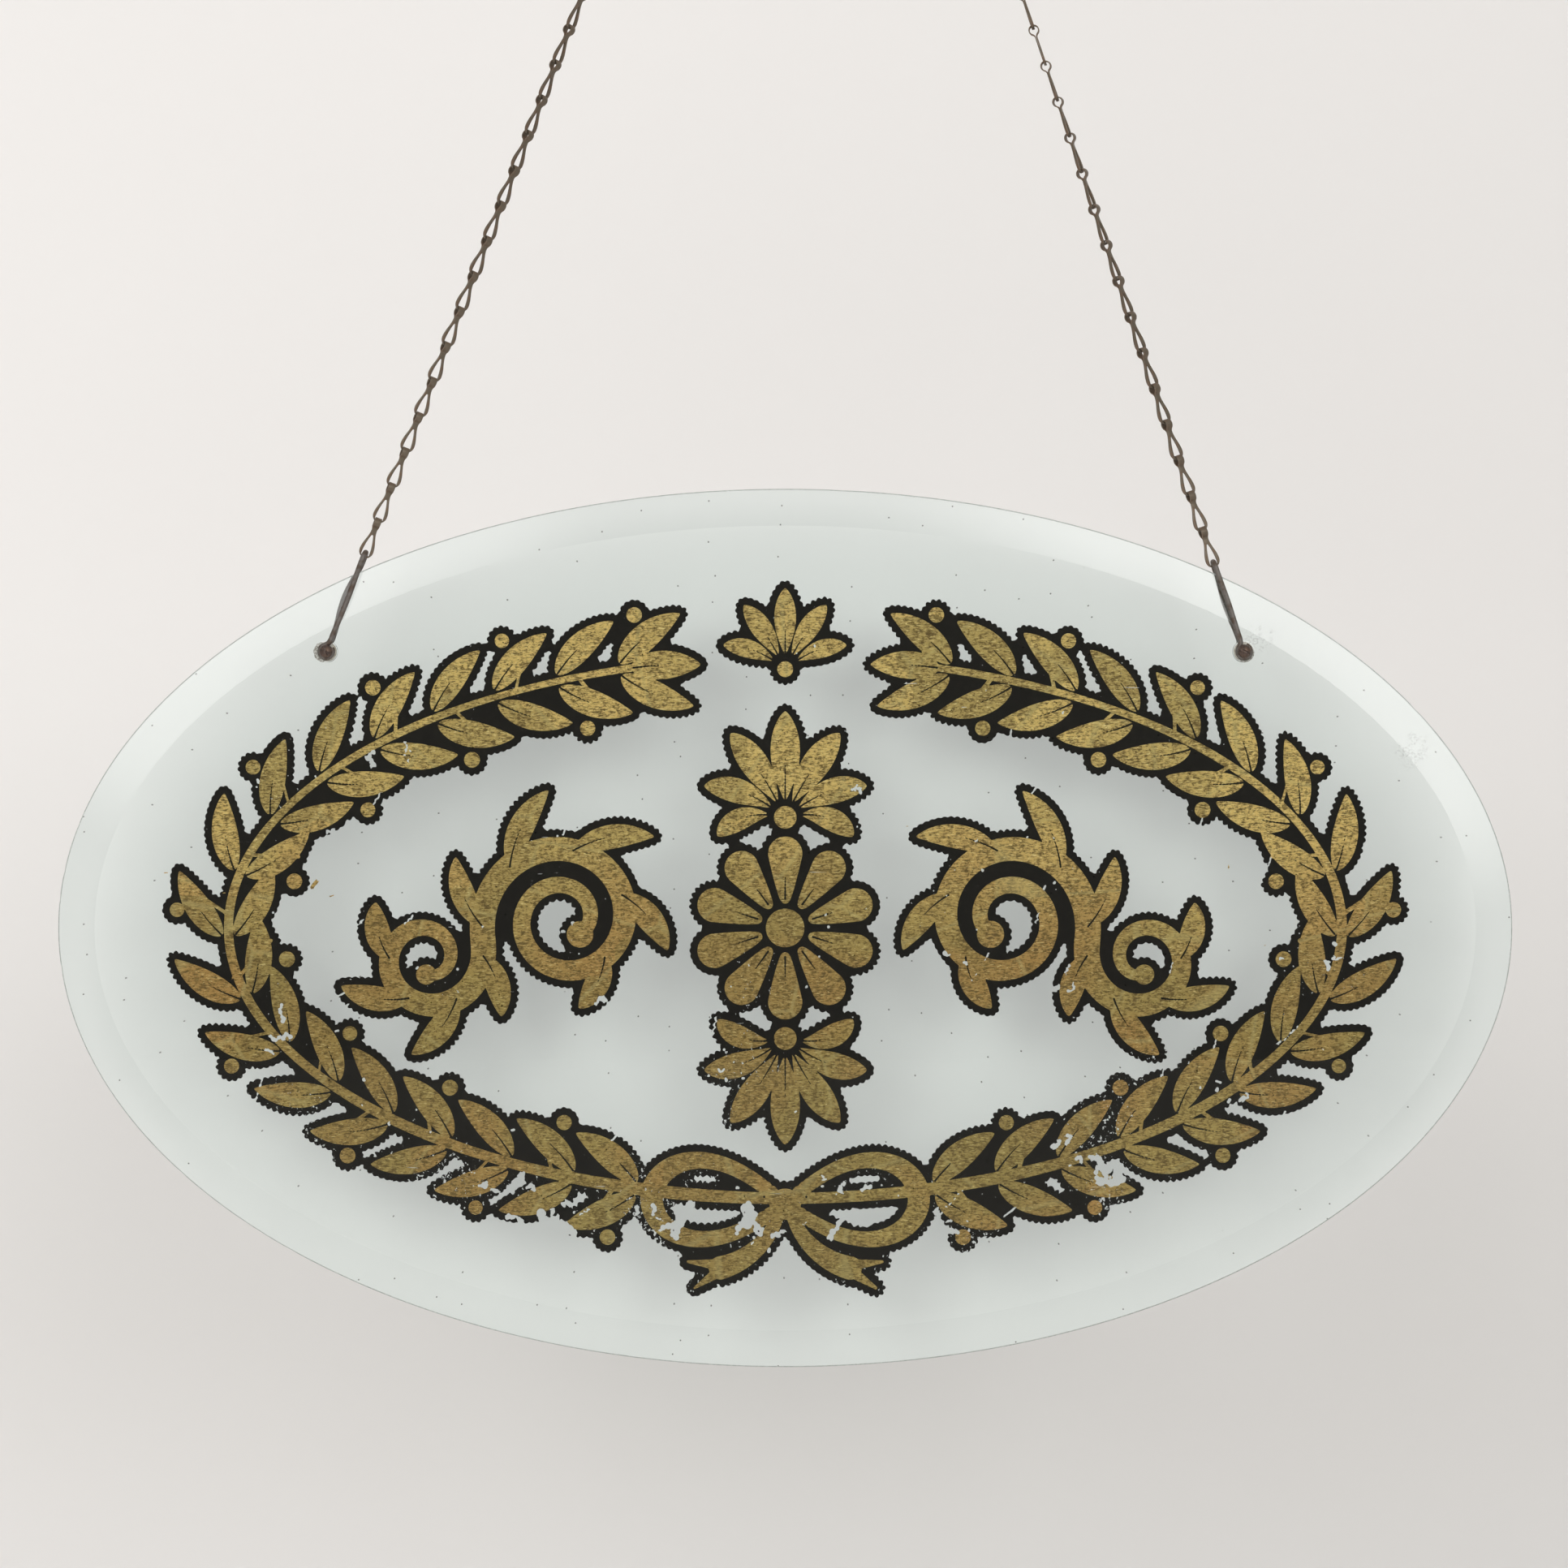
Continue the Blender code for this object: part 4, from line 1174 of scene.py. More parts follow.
def line_pieces(sheet, level):
    """For each cell side that the level crosses, the sides to which its line runs on."""
    inside = sheet < level
    corners = (inside[:-1, :-1], inside[:-1, 1:], inside[1:, 1:], inside[1:, :-1])
    mixed = np.zeros_like(corners[0])
    for corner in corners[1:]:
        mixed |= corner != corners[0]
    joined = {}
    for j, i in zip(*np.nonzero(mixed)):
        a, b, c, d = (bool(corner[j, i]) for corner in corners)
        sides = [("row", j, i), ("column", j, i + 1), ("row", j + 1, i), ("column", j, i)]
        cut = [side for side, crossed in zip(sides, (a != b, b != c, c != d, d != a)) if crossed]
        pairs = ((0, 1),)
        if len(cut) == 4:
            middle = sheet[j : j + 2, i : i + 2].mean() < level
            pairs = ((0, 1), (2, 3)) if middle == a else ((3, 0), (1, 2))
        for first, second in pairs:
            joined.setdefault(cut[first], []).append(cut[second])
            joined.setdefault(cut[second], []).append(cut[first])
    return joined


def crossing(sheet, level, side):
    """The point on a cell side where the sheet passes the level."""
    kind, j, i = side
    other = (j, i + 1) if kind == "row" else (j + 1, i)
    share = (level - sheet[j, i]) / (sheet[other] - sheet[j, i])
    x = sheet_x[i] + (sheet_x[other[1]] - sheet_x[i]) * share
    z = sheet_z[j] + (sheet_z[other[0]] - sheet_z[j]) * share
    return x, z


def traced(sheet, level=0.0):
    """Closed loops along which the sheet passes a level."""
    joined = line_pieces(sheet, level)
    left = dict.fromkeys(joined)
    loops = []
    while left:
        loop, ahead = [], [next(iter(left))]
        while ahead:
            side = ahead[0]
            del left[side]
            loop.append(side)
            ahead = [other for other in joined[side] if other in left]
        if len(loop) > SHORTEST_LOOP and loop[0] in joined[side]:
            loops.append(np.array([crossing(sheet, level, side) for side in loop]))
    return loops


print("the painted flakes have", len(traced(wear)), "outlines")


# %% Even out, scallop and thin a loop
def resampled(loop, step):
    """The same loop with its points equally far apart, and its length."""
    closed = np.vstack([loop, loop[:1]])
    lengths = np.concatenate([[0], np.cumsum(np.hypot(*np.diff(closed, axis=0).T))])
    count = max(int(lengths[-1] / step), 6)
    places = np.linspace(0, lengths[-1], count, endpoint=False)
    return np.column_stack([np.interp(places, lengths, closed[:, k]) for k in (0, 1)]), lengths[-1]


def scalloped(loop, wave, depth):
    """The loop pushed in and out in small waves, as a loaded brush leaves it."""
    points, length = resampled(loop, CELL)
    if length < 4 * wave:
        return points
    i = np.clip(np.round((points[:, 0] + SHEET_HALF) / CELL).astype(int), 0, len(sheet_x) - 1)
    j = np.clip(np.round((points[:, 1] + SHEET_HIGH) / CELL).astype(int), 0, len(sheet_z) - 1)
    out = np.column_stack([slope_x[j, i], slope_z[j, i]])
    out /= np.maximum(np.hypot(*out.T), 1e-6)[:, None]
    places = np.linspace(0, length, len(points), endpoint=False)
    waves = max(round(length / wave), 1)
    phase = np.pi * places * waves / length + 0.5 * np.sin(2 * np.pi * places / length * 3)
    strength = 0.65 + 0.35 * np.sin(points[:, 0] / 13.0) * np.sin(points[:, 1] / 17.0)
    return points + out * (depth * strength * (np.abs(np.sin(phase)) - 0.6))[:, None]


def thinned(loop, tolerance=0.03, passes=4):
    """The loop without the points that a straight line can replace."""
    for _ in range(passes):
        if len(loop) < 10:
            break
        before = np.roll(loop, 1, axis=0)
        chord = np.roll(loop, -1, axis=0) - before
        own = loop - before
        size = np.maximum(np.hypot(*chord.T), 1e-9)
        off = np.abs(chord[:, 0] * own[:, 1] - chord[:, 1] * own[:, 0]) / size
        drop = (off < tolerance) & (size < 8.0)
        drop[::2] = False
        loop = loop[~drop]
    return loop


print("loop helpers ready")

# %% Cut the gold
gold_cut = np.maximum(np.maximum(gold_sheet, -vein_sheet), -wear)
gold_loops = [thinned(loop) for loop in traced(gold_cut)]
print(len(gold_loops), "gold outlines")

# %% Cut the black edge
BLACK_EDGE = 5.0
CLOSING = 1.6
SMALL_GAP = 11.0
WIDER_LOSS = 0.4
SCALLOP_WAVE, SCALLOP_DEPTH = 4.5, 2.1

reach = range(-int(CLOSING / CELL), int(CLOSING / CELL) + 1)
disc = [(j, i) for j in reach for i in reach if i * i + j * j <= (CLOSING / CELL) ** 2]
swollen = np.max([np.roll(gold_sheet, shift, (0, 1)) for shift in disc], axis=0)
black_sheet = swollen - CLOSING - BLACK_EDGE
gaps = [loop for loop in traced(black_sheet) if np.ptp(loop, axis=0).max() < SMALL_GAP]
for gap in gaps:
    dab(black_sheet, *gap.mean(axis=0), np.ptp(gap, axis=0).max() / 2 + 1.0)
black_loops = traced(np.maximum(black_sheet, WIDER_LOSS - wear))
black_loops = [thinned(scalloped(loop, SCALLOP_WAVE, SCALLOP_DEPTH)) for loop in black_loops]
print(len(black_loops), "black outlines,", len(gaps), "gaps painted over")

# %% [markdown]
# ## From outlines to thin plates
#
# The area inside the outlines is filled with triangles that keep every outline as an edge. Which
# triangles are painted follows from counting: each time an outline is crossed, inside and outside
# change places, so leaves with veins and rings with holes come out right. The triangles then get
# a back and side walls, which makes the paint a real, very thin plate.

# %% Fill the outlines
MM = 0.001


def sides_of(face):
    """The pairs of neighbouring corners round a face."""
    return list(zip(face, face[1:] + face[:1]))


def painted_triangles(loops):
    """All the corners, and the triangles that lie inside an odd number of outlines."""
    corners, edges = [], []
    for loop in loops:
        edges += sides_of(list(range(len(corners), len(corners) + len(loop))))
        corners += [Vector(point) for point in loop]
    points, seams, faces, _, origins, _ = delaunay_2d_cdt(corners, edges, [], 0, 1e-5)
    walls = {frozenset(seam) for seam, origin in zip(seams, origins) if origin}
    beside = {}
    for number, face in enumerate(faces):
        for edge in map(frozenset, sides_of(face)):
            beside.setdefault(edge, []).append(number)
    painted, queue = {}, []
    for edge, users in beside.items():
        if len(users) == 1 and users[0] not in painted:
            painted[users[0]] = edge in walls
            queue.append(users[0])
    while queue:
        number = queue.pop()
        for edge in map(frozenset, sides_of(faces[number])):
            for other in beside[edge]:
                if other not in painted:
                    painted[other] = painted[number] != (edge in walls)
                    queue.append(other)
    return points, [face for number, face in enumerate(faces) if painted[number]]


print("fill helper ready")

# %% Gold and black plates
GOLD_DEPTHS, BLACK_DEPTHS = (0.00005, 0.00010), (0.00015, 0.00025)


def painted_plate(name, loops, depths):
    """A thin closed plate between two depths behind the glass, from its outlines."""
    points, shown = painted_triangles(loops)
    used = sorted({corner for face in shown for corner in face})
    index = {corner: k for k, corner in enumerate(used)}
    x, z = (np.array([points[corner] for corner in used]) * MM).T
    layers = [np.column_stack([x, np.full(len(x), half_thick + depth), z]) for depth in depths]
    fronts = [tuple(index[corner] for corner in face) for face in shown]
    sides = [side for face in fronts for side in sides_of(face)]
    inner, count = set(sides), len(used)
    quads = [(b, a, a + count, b + count) for a, b in sides if (b, a) not in inner]
    backs = [tuple(corner + count for corner in reversed(face)) for face in fronts]
    mesh = bpy.data.meshes.new(name)
    mesh.from_pydata(np.vstack(layers).tolist(), [], fronts + backs + quads)
    mesh.update()
    return mesh


gold_mesh = painted_plate("gold_leaf", gold_loops, GOLD_DEPTHS)
black_mesh = painted_plate("black_paint", black_loops, BLACK_DEPTHS)
add_piece("gilded_ornament", gold_mesh, gold_leaf, "sign", at_glass)
add_piece("black_backing", black_mesh, black_paint, "sign", at_glass)
print("gold", len(gold_mesh.polygons), "faces, black", len(black_mesh.polygons), "faces")

# %% [markdown]
# ## Stray flakes
#
# A few crumbs of old leaf cling to the glass away from the ornament. Each is a small uneven
# outline, filled in the same way.

# %% Loose flakes
CRUMBS = (  # across, up, half length, turn in degrees
    (-426, 38, 1.2, 2), (-324, 30, 4.6, 58), (-312, 22, 1.6, 20), (-386, 24, 1.0, 0),
    (305, 42, 1.3, 80), (84, 70, 0.9, 10), (-380, -34, 1.3, 70), (330, -12, 0.8, 30),
)
CRUMB_DEPTHS = (0.00005, 0.00012)

rng = np.random.default_rng(23)
crumb_loops = []
for x, z, size, turn in CRUMBS:
    angles = np.linspace(0, 2 * np.pi, 14, endpoint=False)
    radii = size * (1 + 0.35 * rng.normal(size=len(angles)).clip(-1, 1))
    along_x, along_z = radii * np.cos(angles), 0.34 * radii * np.sin(angles)
    c, s = math.cos(math.radians(turn)), math.sin(math.radians(turn))
    turned_x, turned_z = x + along_x * c - along_z * s, z + along_x * s + along_z * c
    crumb_loops.append(np.column_stack([turned_x, turned_z]))
crumb_mesh = painted_plate("crumbs", crumb_loops, CRUMB_DEPTHS)
add_piece("leaf_crumbs", crumb_mesh, gold_leaf, "sign", at_glass)
print(len(CRUMBS), "crumbs")

# %% [markdown]
# ## The wire hangers
#
# Each hanger is one wire, bent over the glass like a hairpin, with an eye at the foot of each leg
# for the screw. Bending wire by hand gives plain arcs, so the path is made of arcs too: a bend
# aside, an eye round the screw, and a half circle over the top. The path is in the chain's own
# directions, along its line and across it, because the hanger hangs in line with the chain.

# %% Lines of the two chains
LINKS = 16


def link_name(side, number):
    """The solid that a link stands for."""
    return f"{side}_link_{number:02d}"


top_swing = swing_at[body_of[link_name("left", LINKS)]]
pitch = (top_swing - swing_at[body_of[link_name("left", LINKS - 1)]]).length
chain_top = {"left": top_swing, "right": top_swing * Vector((-1, 1, 1))}
chain_up = {side: (chain_top[side] - screw_at[side]).normalized() for side in SIDES}


def contact(side, number):
    """Where a link's ring bears on what carries it. Number 0 is where the hanger bears."""
    return chain_top[side] - chain_up[side] * pitch * (LINKS - number)


def chain_ways(side):
    """The way up a chain, and the way across it along the glass."""
    up_way = chain_up[side]
    return up_way, Vector((up_way.z, 0, -up_way.x))


print("pitch", round(pitch * 1000, 2), "mm; leans", [round(chain_up[s].x, 4) for s in SIDES])


# %% A bend and an eye in a wire
def curl(radius, bend_radius, end_angle, bend_steps, curl_steps):
    """(across, up) points of a wire that comes down, bends aside and curls round 0, 0."""
    foot = math.sqrt(radius**2 + 2 * radius * bend_radius)
    swing = math.atan2(foot, bend_radius)
    points = []
    for step in range(bend_steps + 1):
        angle = -swing * step / bend_steps
        points.append((bend_radius * (math.cos(angle) - 1), foot + bend_radius * math.sin(angle)))
    start = math.pi - swing
    sweep = 2 * math.pi + math.radians(end_angle) - start
    for step in range(1, curl_steps + 1):
        angle = start + sweep * step / curl_steps
        points.append((radius * math.cos(angle), radius * math.sin(angle)))
    return points


HANGER_WIRE = 0.0037
WIRE_GAP = 0.0003
SCREW_RADIUS = 0.0021
EYE_RADIUS = SCREW_RADIUS + WIRE_GAP + HANGER_WIRE / 2
EYE_BEND = 0.0080
EYE_END = 53.0

eye = curl(EYE_RADIUS, EYE_BEND, EYE_END, 10, 40)
print("eye of", len(eye), "points, for a screw of", 2000 * SCREW_RADIUS, "mm")

# %% Bend and place the hangers
STRAP_WIDTH = 0.0046
HOLE_HALF, HOLE_FOOT_RISE = 0.0029, 0.0010
LEG_OFFSET = half_thick + WIRE_GAP + HANGER_WIRE / 2
LEG_BOWS = {"left": {-1: 0.0006, 1: -0.0028}, "right": {-1: 0.0004, 1: -0.0016}}
LEG_STEPS, TOP_STEPS = 22, 24

# A strap's edges ride up the round foot of the hole that holds it, by this much.
seat_rise = HOLE_FOOT_RISE * (1 - math.sqrt(1 - (STRAP_WIDTH / 2 / HOLE_HALF) ** 2))
bend_drop = seat_rise - HANGER_WIRE / 2 + LEG_OFFSET
for side in SIDES:
    up_way, across = chain_ways(side)
    top, foot = (contact(side, 0) - screw_at[side]).length - bend_drop, eye[0][1]
    legs = {}
    for face, bow in LEG_BOWS[side].items():
        leg = []
        for step in range(LEG_STEPS):
            share = step / LEG_STEPS
            leg.append((bow * math.sin(math.pi * share) ** 2, top + (foot - top) * share))
        out = Vector((0, face * LEG_OFFSET, 0))
        legs[face] = [across * u + up_way * v + out for u, v in leg + eye]
    hairpin = []
    for step in range(1, TOP_STEPS):
        angle = math.pi * step / TOP_STEPS
        out = Vector((0, -LEG_OFFSET * math.cos(angle), 0))
        hairpin.append(up_way * top + out + up_way * LEG_OFFSET * math.sin(angle))
    path = legs[-1][::-1] + hairpin + legs[1]
    mesh = wire(side + "_hairpin", path, HANGER_WIRE / 2, 24)
    add_piece(
        side + "_wire_hanger", mesh, wire_steel, "sign",
        Matrix.Translation(screw_at[side]), [side + "_hanger"],
    )
    print(side, "hanger stands", round(1000 * (top + LEG_OFFSET), 1), "mm over its screw")

# %% [markdown]
# ## Screws, nuts and bushes
#
# A round-headed slotted screw goes through the eyes and the glass, and a square nut holds it
# behind. The head is a turned dome with a slot cut by a Boolean. The slot stands at the angle
# that the photograph shows. The bush is turned too, then pushed about a little, because it is
# soft and old. On one side of each eye a crust of it has come out over the glass.

# %% The screws
HEAD_RADIUS = 0.0047
HEAD_HEIGHT = 0.0034
HEAD_BREAK = 0.0002
DOME_STEPS, DOME_END = 12, 82
SLOT_SIZE = (0.02, 0.0028, 0.0012)
SLOT_ANGLES = {"left": 62.0, "right": 24.0}
THREADS, THREAD_DEPTH, THREAD_START = 16, 0.00022, 0.004
CLAMP_FACE = half_thick + HANGER_WIRE + 2 * WIRE_GAP
NUT_THICKNESS = 0.0032
SCREW_TAIL = 0.0022


def slab(name, size, place=(0, 0, 0), turn=0.0, bevel=0.0):
    """A block, turned about Y, with softened edges if it has a bevel."""
    shape = bmesh.new()
    bmesh.ops.create_cube(shape, size=1.0, matrix=Matrix.Diagonal((*size, 1.0)))
    if bevel:
        edges = shape.edges[:]
        bmesh.ops.bevel(shape, geom=edges, offset=bevel, segments=2, affect="EDGES", profile=0.5)
    mesh = finished(shape, name)
    mesh.transform(Matrix.Translation(place) @ Matrix.Rotation(turn, 4, "Y"))
    return mesh


def screw_mesh(side):
    """A screw that lies along Y, with the underside of its head at 0."""
    length = 2 * CLAMP_FACE + WIRE_GAP + NUT_THICKNESS + SCREW_TAIL
    outline = [(0, HEAD_HEIGHT)]
    for step in range(1, DOME_STEPS + 1):
        angle = math.radians(DOME_END * step / DOME_STEPS)
        outline.append((HEAD_RADIUS * math.sin(angle), HEAD_HEIGHT * math.cos(angle)))
    outline += [(HEAD_RADIUS, HEAD_BREAK), (HEAD_RADIUS - HEAD_BREAK, 0), (SCREW_RADIUS, 0)]
    start, end = -2 * CLAMP_FACE + THREAD_START, -length + SCREW_RADIUS / 2
    for step in range(2 * THREADS):
        groove = THREAD_DEPTH if step % 2 else 0
        outline.append((SCREW_RADIUS - groove, start + (end - start) * step / (2 * THREADS)))
    outline += [(SCREW_RADIUS, end), (SCREW_RADIUS / 2, -length), (0, -length)]
    mesh = turned(side + "_screw_body", outline, 48, angle=40.0)
    mesh.transform(LEVEL)
    slot = slab("slot", SLOT_SIZE, (0, -HEAD_HEIGHT, 0), math.radians(SLOT_ANGLES[side]))
    return carved(mesh, slot)


print("screws", 2000 * SCREW_RADIUS, "mm thick, with", THREADS, "grooves each")

# %% Put in the screws and their nuts
NUT_HALF = 0.0040
NUT_BREAK = 0.0004
BORE_RADIUS, BORE_END = SCREW_RADIUS + WIRE_GAP, 0.01

nut_middle = CLAMP_FACE + WIRE_GAP + NUT_THICKNESS / 2
bore_profile = [(0, -BORE_END), (BORE_RADIUS, -BORE_END), (BORE_RADIUS, BORE_END), (0, BORE_END)]
for side in SIDES:
    seat = Matrix.Translation(screw_at[side] + Vector((0, -CLAMP_FACE, 0)))
    add_piece(
        side + "_slotted_screw", screw_mesh(side), screw_steel, "sign",
        seat, [side + "_screw"],
    )
    nut = slab("nut", (2 * NUT_HALF, NUT_THICKNESS, 2 * NUT_HALF), bevel=NUT_BREAK)
    bore = turned("bore", bore_profile, 40)
    bore.transform(LEVEL)
    place = Matrix.Translation(screw_at[side] + Vector((0, nut_middle, 0)))
    add_piece(
        side + "_square_nut", carved(nut, bore), screw_steel, "sign",
        place, [side + "_nut"],
    )
print("two screws, and two nuts of", 2000 * NUT_HALF, "mm")

# %% The bushes
BUSH_OUTER, BUSH_INNER = HOLE_RADIUS - 0.0003, SCREW_RADIUS + 0.0003
BUSH_BREAK = 0.0003
FACE_OUTER, FACE_INNER = BUSH_OUTER - 0.0009, BUSH_INNER + 0.0006
BORE_KEPT = BUSH_INNER + 0.0005
MOST_SHRUNK = 0.09

rng = np.random.default_rng(31)
outline = []
for height in np.linspace(-half_thick, half_thick, 9):
    outline.append((BUSH_OUTER - BUSH_BREAK * (abs(height) > 0.95 * half_thick), height))
outline += [(radius, half_thick) for radius in np.linspace(FACE_OUTER, FACE_INNER, 5)]
outline += [(BUSH_INNER, half_thick - BUSH_BREAK), (BUSH_INNER, -half_thick + BUSH_BREAK)]
outline += [(radius, -half_thick) for radius in np.linspace(FACE_INNER, FACE_OUTER, 5)]
for side in SIDES:
    mesh = turned(side + "_bush", outline, 56, looped=True)
    for vertex in mesh.vertices:
        if math.hypot(vertex.co.x, vertex.co.y) > BORE_KEPT:
            vertex.co.z *= 1 - rng.uniform(0.0, MOST_SHRUNK)
    mesh.transform(LEVEL)
    add_piece(
        side + "_pale_bush", mesh, bush_finish, "sign",
        Matrix.Translation(screw_at[side]), [side + "_hole_sleeve"],
    )
print("two bushes")

# %% The crusts
# The middle and half the spread of each crust in degrees, and how far it reaches.
CRUSTS = {"left": (188.0, 74.0, 0.0029), "right": (300.0, 70.0, 0.0014)}
CRUST_INNER = 0.00635
CRUST_THIN = 0.0003
CRUST_LOW, CRUST_SWELL = 0.0002, 0.0008
CRUST_CLEAR = 0.00002


def crust_mesh(side, middle, spread, reach):
    """A crust pushed out over the glass beside an eye, spread to both sides of its middle."""
    rows = []
    for share in np.linspace(0, 1, 27):
        angle = math.radians(middle + spread * (2 * share - 1))
        swell = math.sin(math.pi * share) ** 0.5
        width = (reach - CRUST_THIN) * swell * rng.uniform(0.72, 1.0)
        outer = CRUST_INNER + CRUST_THIN + width
        height = CRUST_LOW + CRUST_SWELL * swell * rng.uniform(0.7, 1.0)
        points = [(CRUST_INNER, 0.0)]
        for across in (0.0, 0.3, 0.65, 1.0):
            uneven = 0.85 if across == 0.0 else rng.uniform(0.85, 1.0)
            rise = height * (1.0 - 0.75 * across**2) * uneven
            points.append((CRUST_INNER + (outer - CRUST_INNER) * across, rise))
        points.append((outer, 0.0))
        way = Vector((math.cos(angle), 0, math.sin(angle)))
        rows.append([way * radius + Vector((0, -rise, 0)) for radius, rise in points])
    return lofted(side + "_bush_crust", rows, 50.0)


for side in SIDES:
    place = Matrix.Translation(screw_at[side] + Vector((0, -half_thick - CRUST_CLEAR, 0)))
    mesh = crust_mesh(side, *CRUSTS[side])
    add_piece(side + "_bush_crust", mesh, crust_finish, "sign", place)
print("a crust beside each eye")

# %% [markdown]
# ## The folded links
#
# Each link starts as a flat stamping with a wide pear-shaped hole at each end. Folded in half
# round a pin, its middle becomes a ring and its two ends lie on each other. So half of it is
# drawn as a surface: down round the ring, through the reverse bend and flat down the leaf. A
# mirror makes the other half, Solidify gives the sheet its thickness, and a small bevel takes off
# the stamped edge. One mesh serves all the links.

# %% The fold, seen from its side
SHEET = 0.0008
RING_BORE = 0.0058
FOLD_RADIUS = 0.0030
LEAF_GAP = 0.00015
RING_STEPS, FOLD_STEPS = 14, 8


def fold_rows():
    """(y, z, share) down one half, from the top of the ring to where the leaf lies flat."""
    ring, top = RING_BORE / 2 + SHEET / 2, RING_BORE / 2
    half_gap = (LEAF_GAP + SHEET) / 2
    turn = math.pi - math.asin((FOLD_RADIUS + half_gap) / (ring + FOLD_RADIUS))
    centre_y = (ring + FOLD_RADIUS) * math.sin(turn)
    centre_z = (ring + FOLD_RADIUS) * math.cos(turn) - top
    rows = []
    for step in range(RING_STEPS + 1):
        angle = turn * step / RING_STEPS
        rows.append((ring * math.sin(angle), ring * math.cos(angle) - top, 0.0))
    for step in range(1, FOLD_STEPS + 1):
        share = step / FOLD_STEPS
        angle = turn + (math.pi / 2 - turn) * share
        y, z = centre_y - FOLD_RADIUS * math.sin(angle), centre_z - FOLD_RADIUS * math.cos(angle)
        rows.append((y, z, share))
    return rows


strap = fold_rows()
leaf_y, neck_z = strap[-1][:2]
print("strap of", len(strap), "rows; the neck is", round(-1000 * neck_z, 2), "mm below the seat")

# %% The leaf and its hole, seen from the front
NECK_WIDTH = 0.0037
RIM_WIDTH = 0.0020
BAR_HEIGHT = 0.0015
FOOT_ROUNDING = 0.0052
WEB_LENGTH = 0.0035
TIP_WIDTH, TIP_HEIGHT = 0.0014, 0.0005
SEAT_PLAY = 0.00058
HOLE_FOOT = -pitch - (seat_rise + SEAT_PLAY)
LINK_FOOT = HOLE_FOOT - BAR_HEIGHT
FLANK_STEPS, ROUND_STEPS = 9, 9


def outer_edge():
    """(x, z) points down one side of the leaf, from below its neck to the middle of its foot."""
    widest, widest_z = HOLE_HALF + RIM_WIDTH, LINK_FOOT + FOOT_ROUNDING
    points = []
    for share in np.linspace(0.12, 0.94, FLANK_STEPS):
        flare = (1 - math.cos(math.pi * share)) / 2
        x = NECK_WIDTH / 2 + (widest - NECK_WIDTH / 2) * flare
        points.append((x, neck_z + (widest_z - neck_z) * share))
    for angle in np.linspace(0, math.pi / 2, ROUND_STEPS):
        points.append((widest * math.cos(angle), widest_z - FOOT_ROUNDING * math.sin(angle)))
    return points


def inner_edge():
    """(x, z) points down one side of the hole, from its tip to the middle of its foot."""
    tip_z, widest_z = neck_z - WEB_LENGTH, HOLE_FOOT + HOLE_FOOT_RISE
    points = [(0.0, tip_z), (TIP_WIDTH / 2, tip_z - TIP_HEIGHT)]
    for share in np.linspace(0, 1, FLANK_STEPS)[1:-1]:
        swell = 1 - (1 - share) ** 2
        x = TIP_WIDTH / 2 + (HOLE_HALF - TIP_WIDTH / 2) * swell
        points.append((x, tip_z - TIP_HEIGHT + (widest_z - tip_z + TIP_HEIGHT) * share))
    for angle in np.linspace(0, math.pi / 2, ROUND_STEPS):
        points.append((HOLE_HALF * math.cos(angle), widest_z - HOLE_FOOT_RISE * math.sin(angle)))
    return points


outer, inner = outer_edge(), inner_edge()
print("leaf", round(2000 * max(x for x, _ in outer), 1), "mm wide")


# %% Half the blank
def half_blank():
    """One half of the folded blank: the strap row by row, then the leaf round its hole."""
    shape = bmesh.new()
    rows = []
    for y, z, share in strap:
        half_strap = (STRAP_WIDTH + (NECK_WIDTH - STRAP_WIDTH) * share) / 2
        rows.append([shape.verts.new((x, y, z)) for x in (-half_strap, 0, half_strap)])
    for above, below in zip(rows, rows[1:]):
        bridge(shape, above, below, round_trip=False)
    tip, foot, hole_foot = (
        shape.verts.new((0, leaf_y, z)) for z in (inner[0][1], outer[-1][1], inner[-1][1])
    )
    for hand in (-1, 1):
        edge = [shape.verts.new((hand * x, leaf_y, z)) for x, z in outer[:-1]]
        inside = [shape.verts.new((hand * x, leaf_y, z)) for x, z in inner[1:-1]]
        shape.faces.new((rows[-1][1], rows[-1][1 + hand], edge[0], tip))
        bridge(shape, edge + [foot], [tip] + inside + [hole_foot], round_trip=False)
    return shape


blank = half_blank()
print("half blank:", len(blank.faces), "faces")

# %% Fold, thicken and soften it
FOLD_JOINS = 0.00002
STAMPED_BREAK = 0.00014


def link_mesh(shape):
    """A whole link: both halves of the blank, as thick as the sheet, with softened edges."""
    guide = new_object("link_guide", finished(shape, "folded_link"))
    mirror = guide.modifiers.new("other_leaf", "MIRROR")
    mirror.use_axis = (False, True, False)
    mirror.merge_threshold = FOLD_JOINS
    solid = guide.modifiers.new("sheet", "SOLIDIFY")
    solid.thickness = SHEET
    solid.offset = 0.0
    solid.use_even_offset = True
    bevel = guide.modifiers.new("stamped_edge", "BEVEL")
    bevel.width = STAMPED_BREAK
    bevel.segments = 2
    bevel.limit_method = "ANGLE"
    bevel.angle_limit = math.radians(50)
    mesh = baked(guide)
    mesh.shade_smooth()
    mesh.set_sharp_from_angle(angle=math.radians(38))
    return mesh


folded = link_mesh(blank)
print("folded link:", len(folded.polygons), "faces")

# %% Hang the chains
TWIST_AT_HOOK = {"left": 58.0, "right": 88.0}
TWIST_AT_SIGN = 12.0

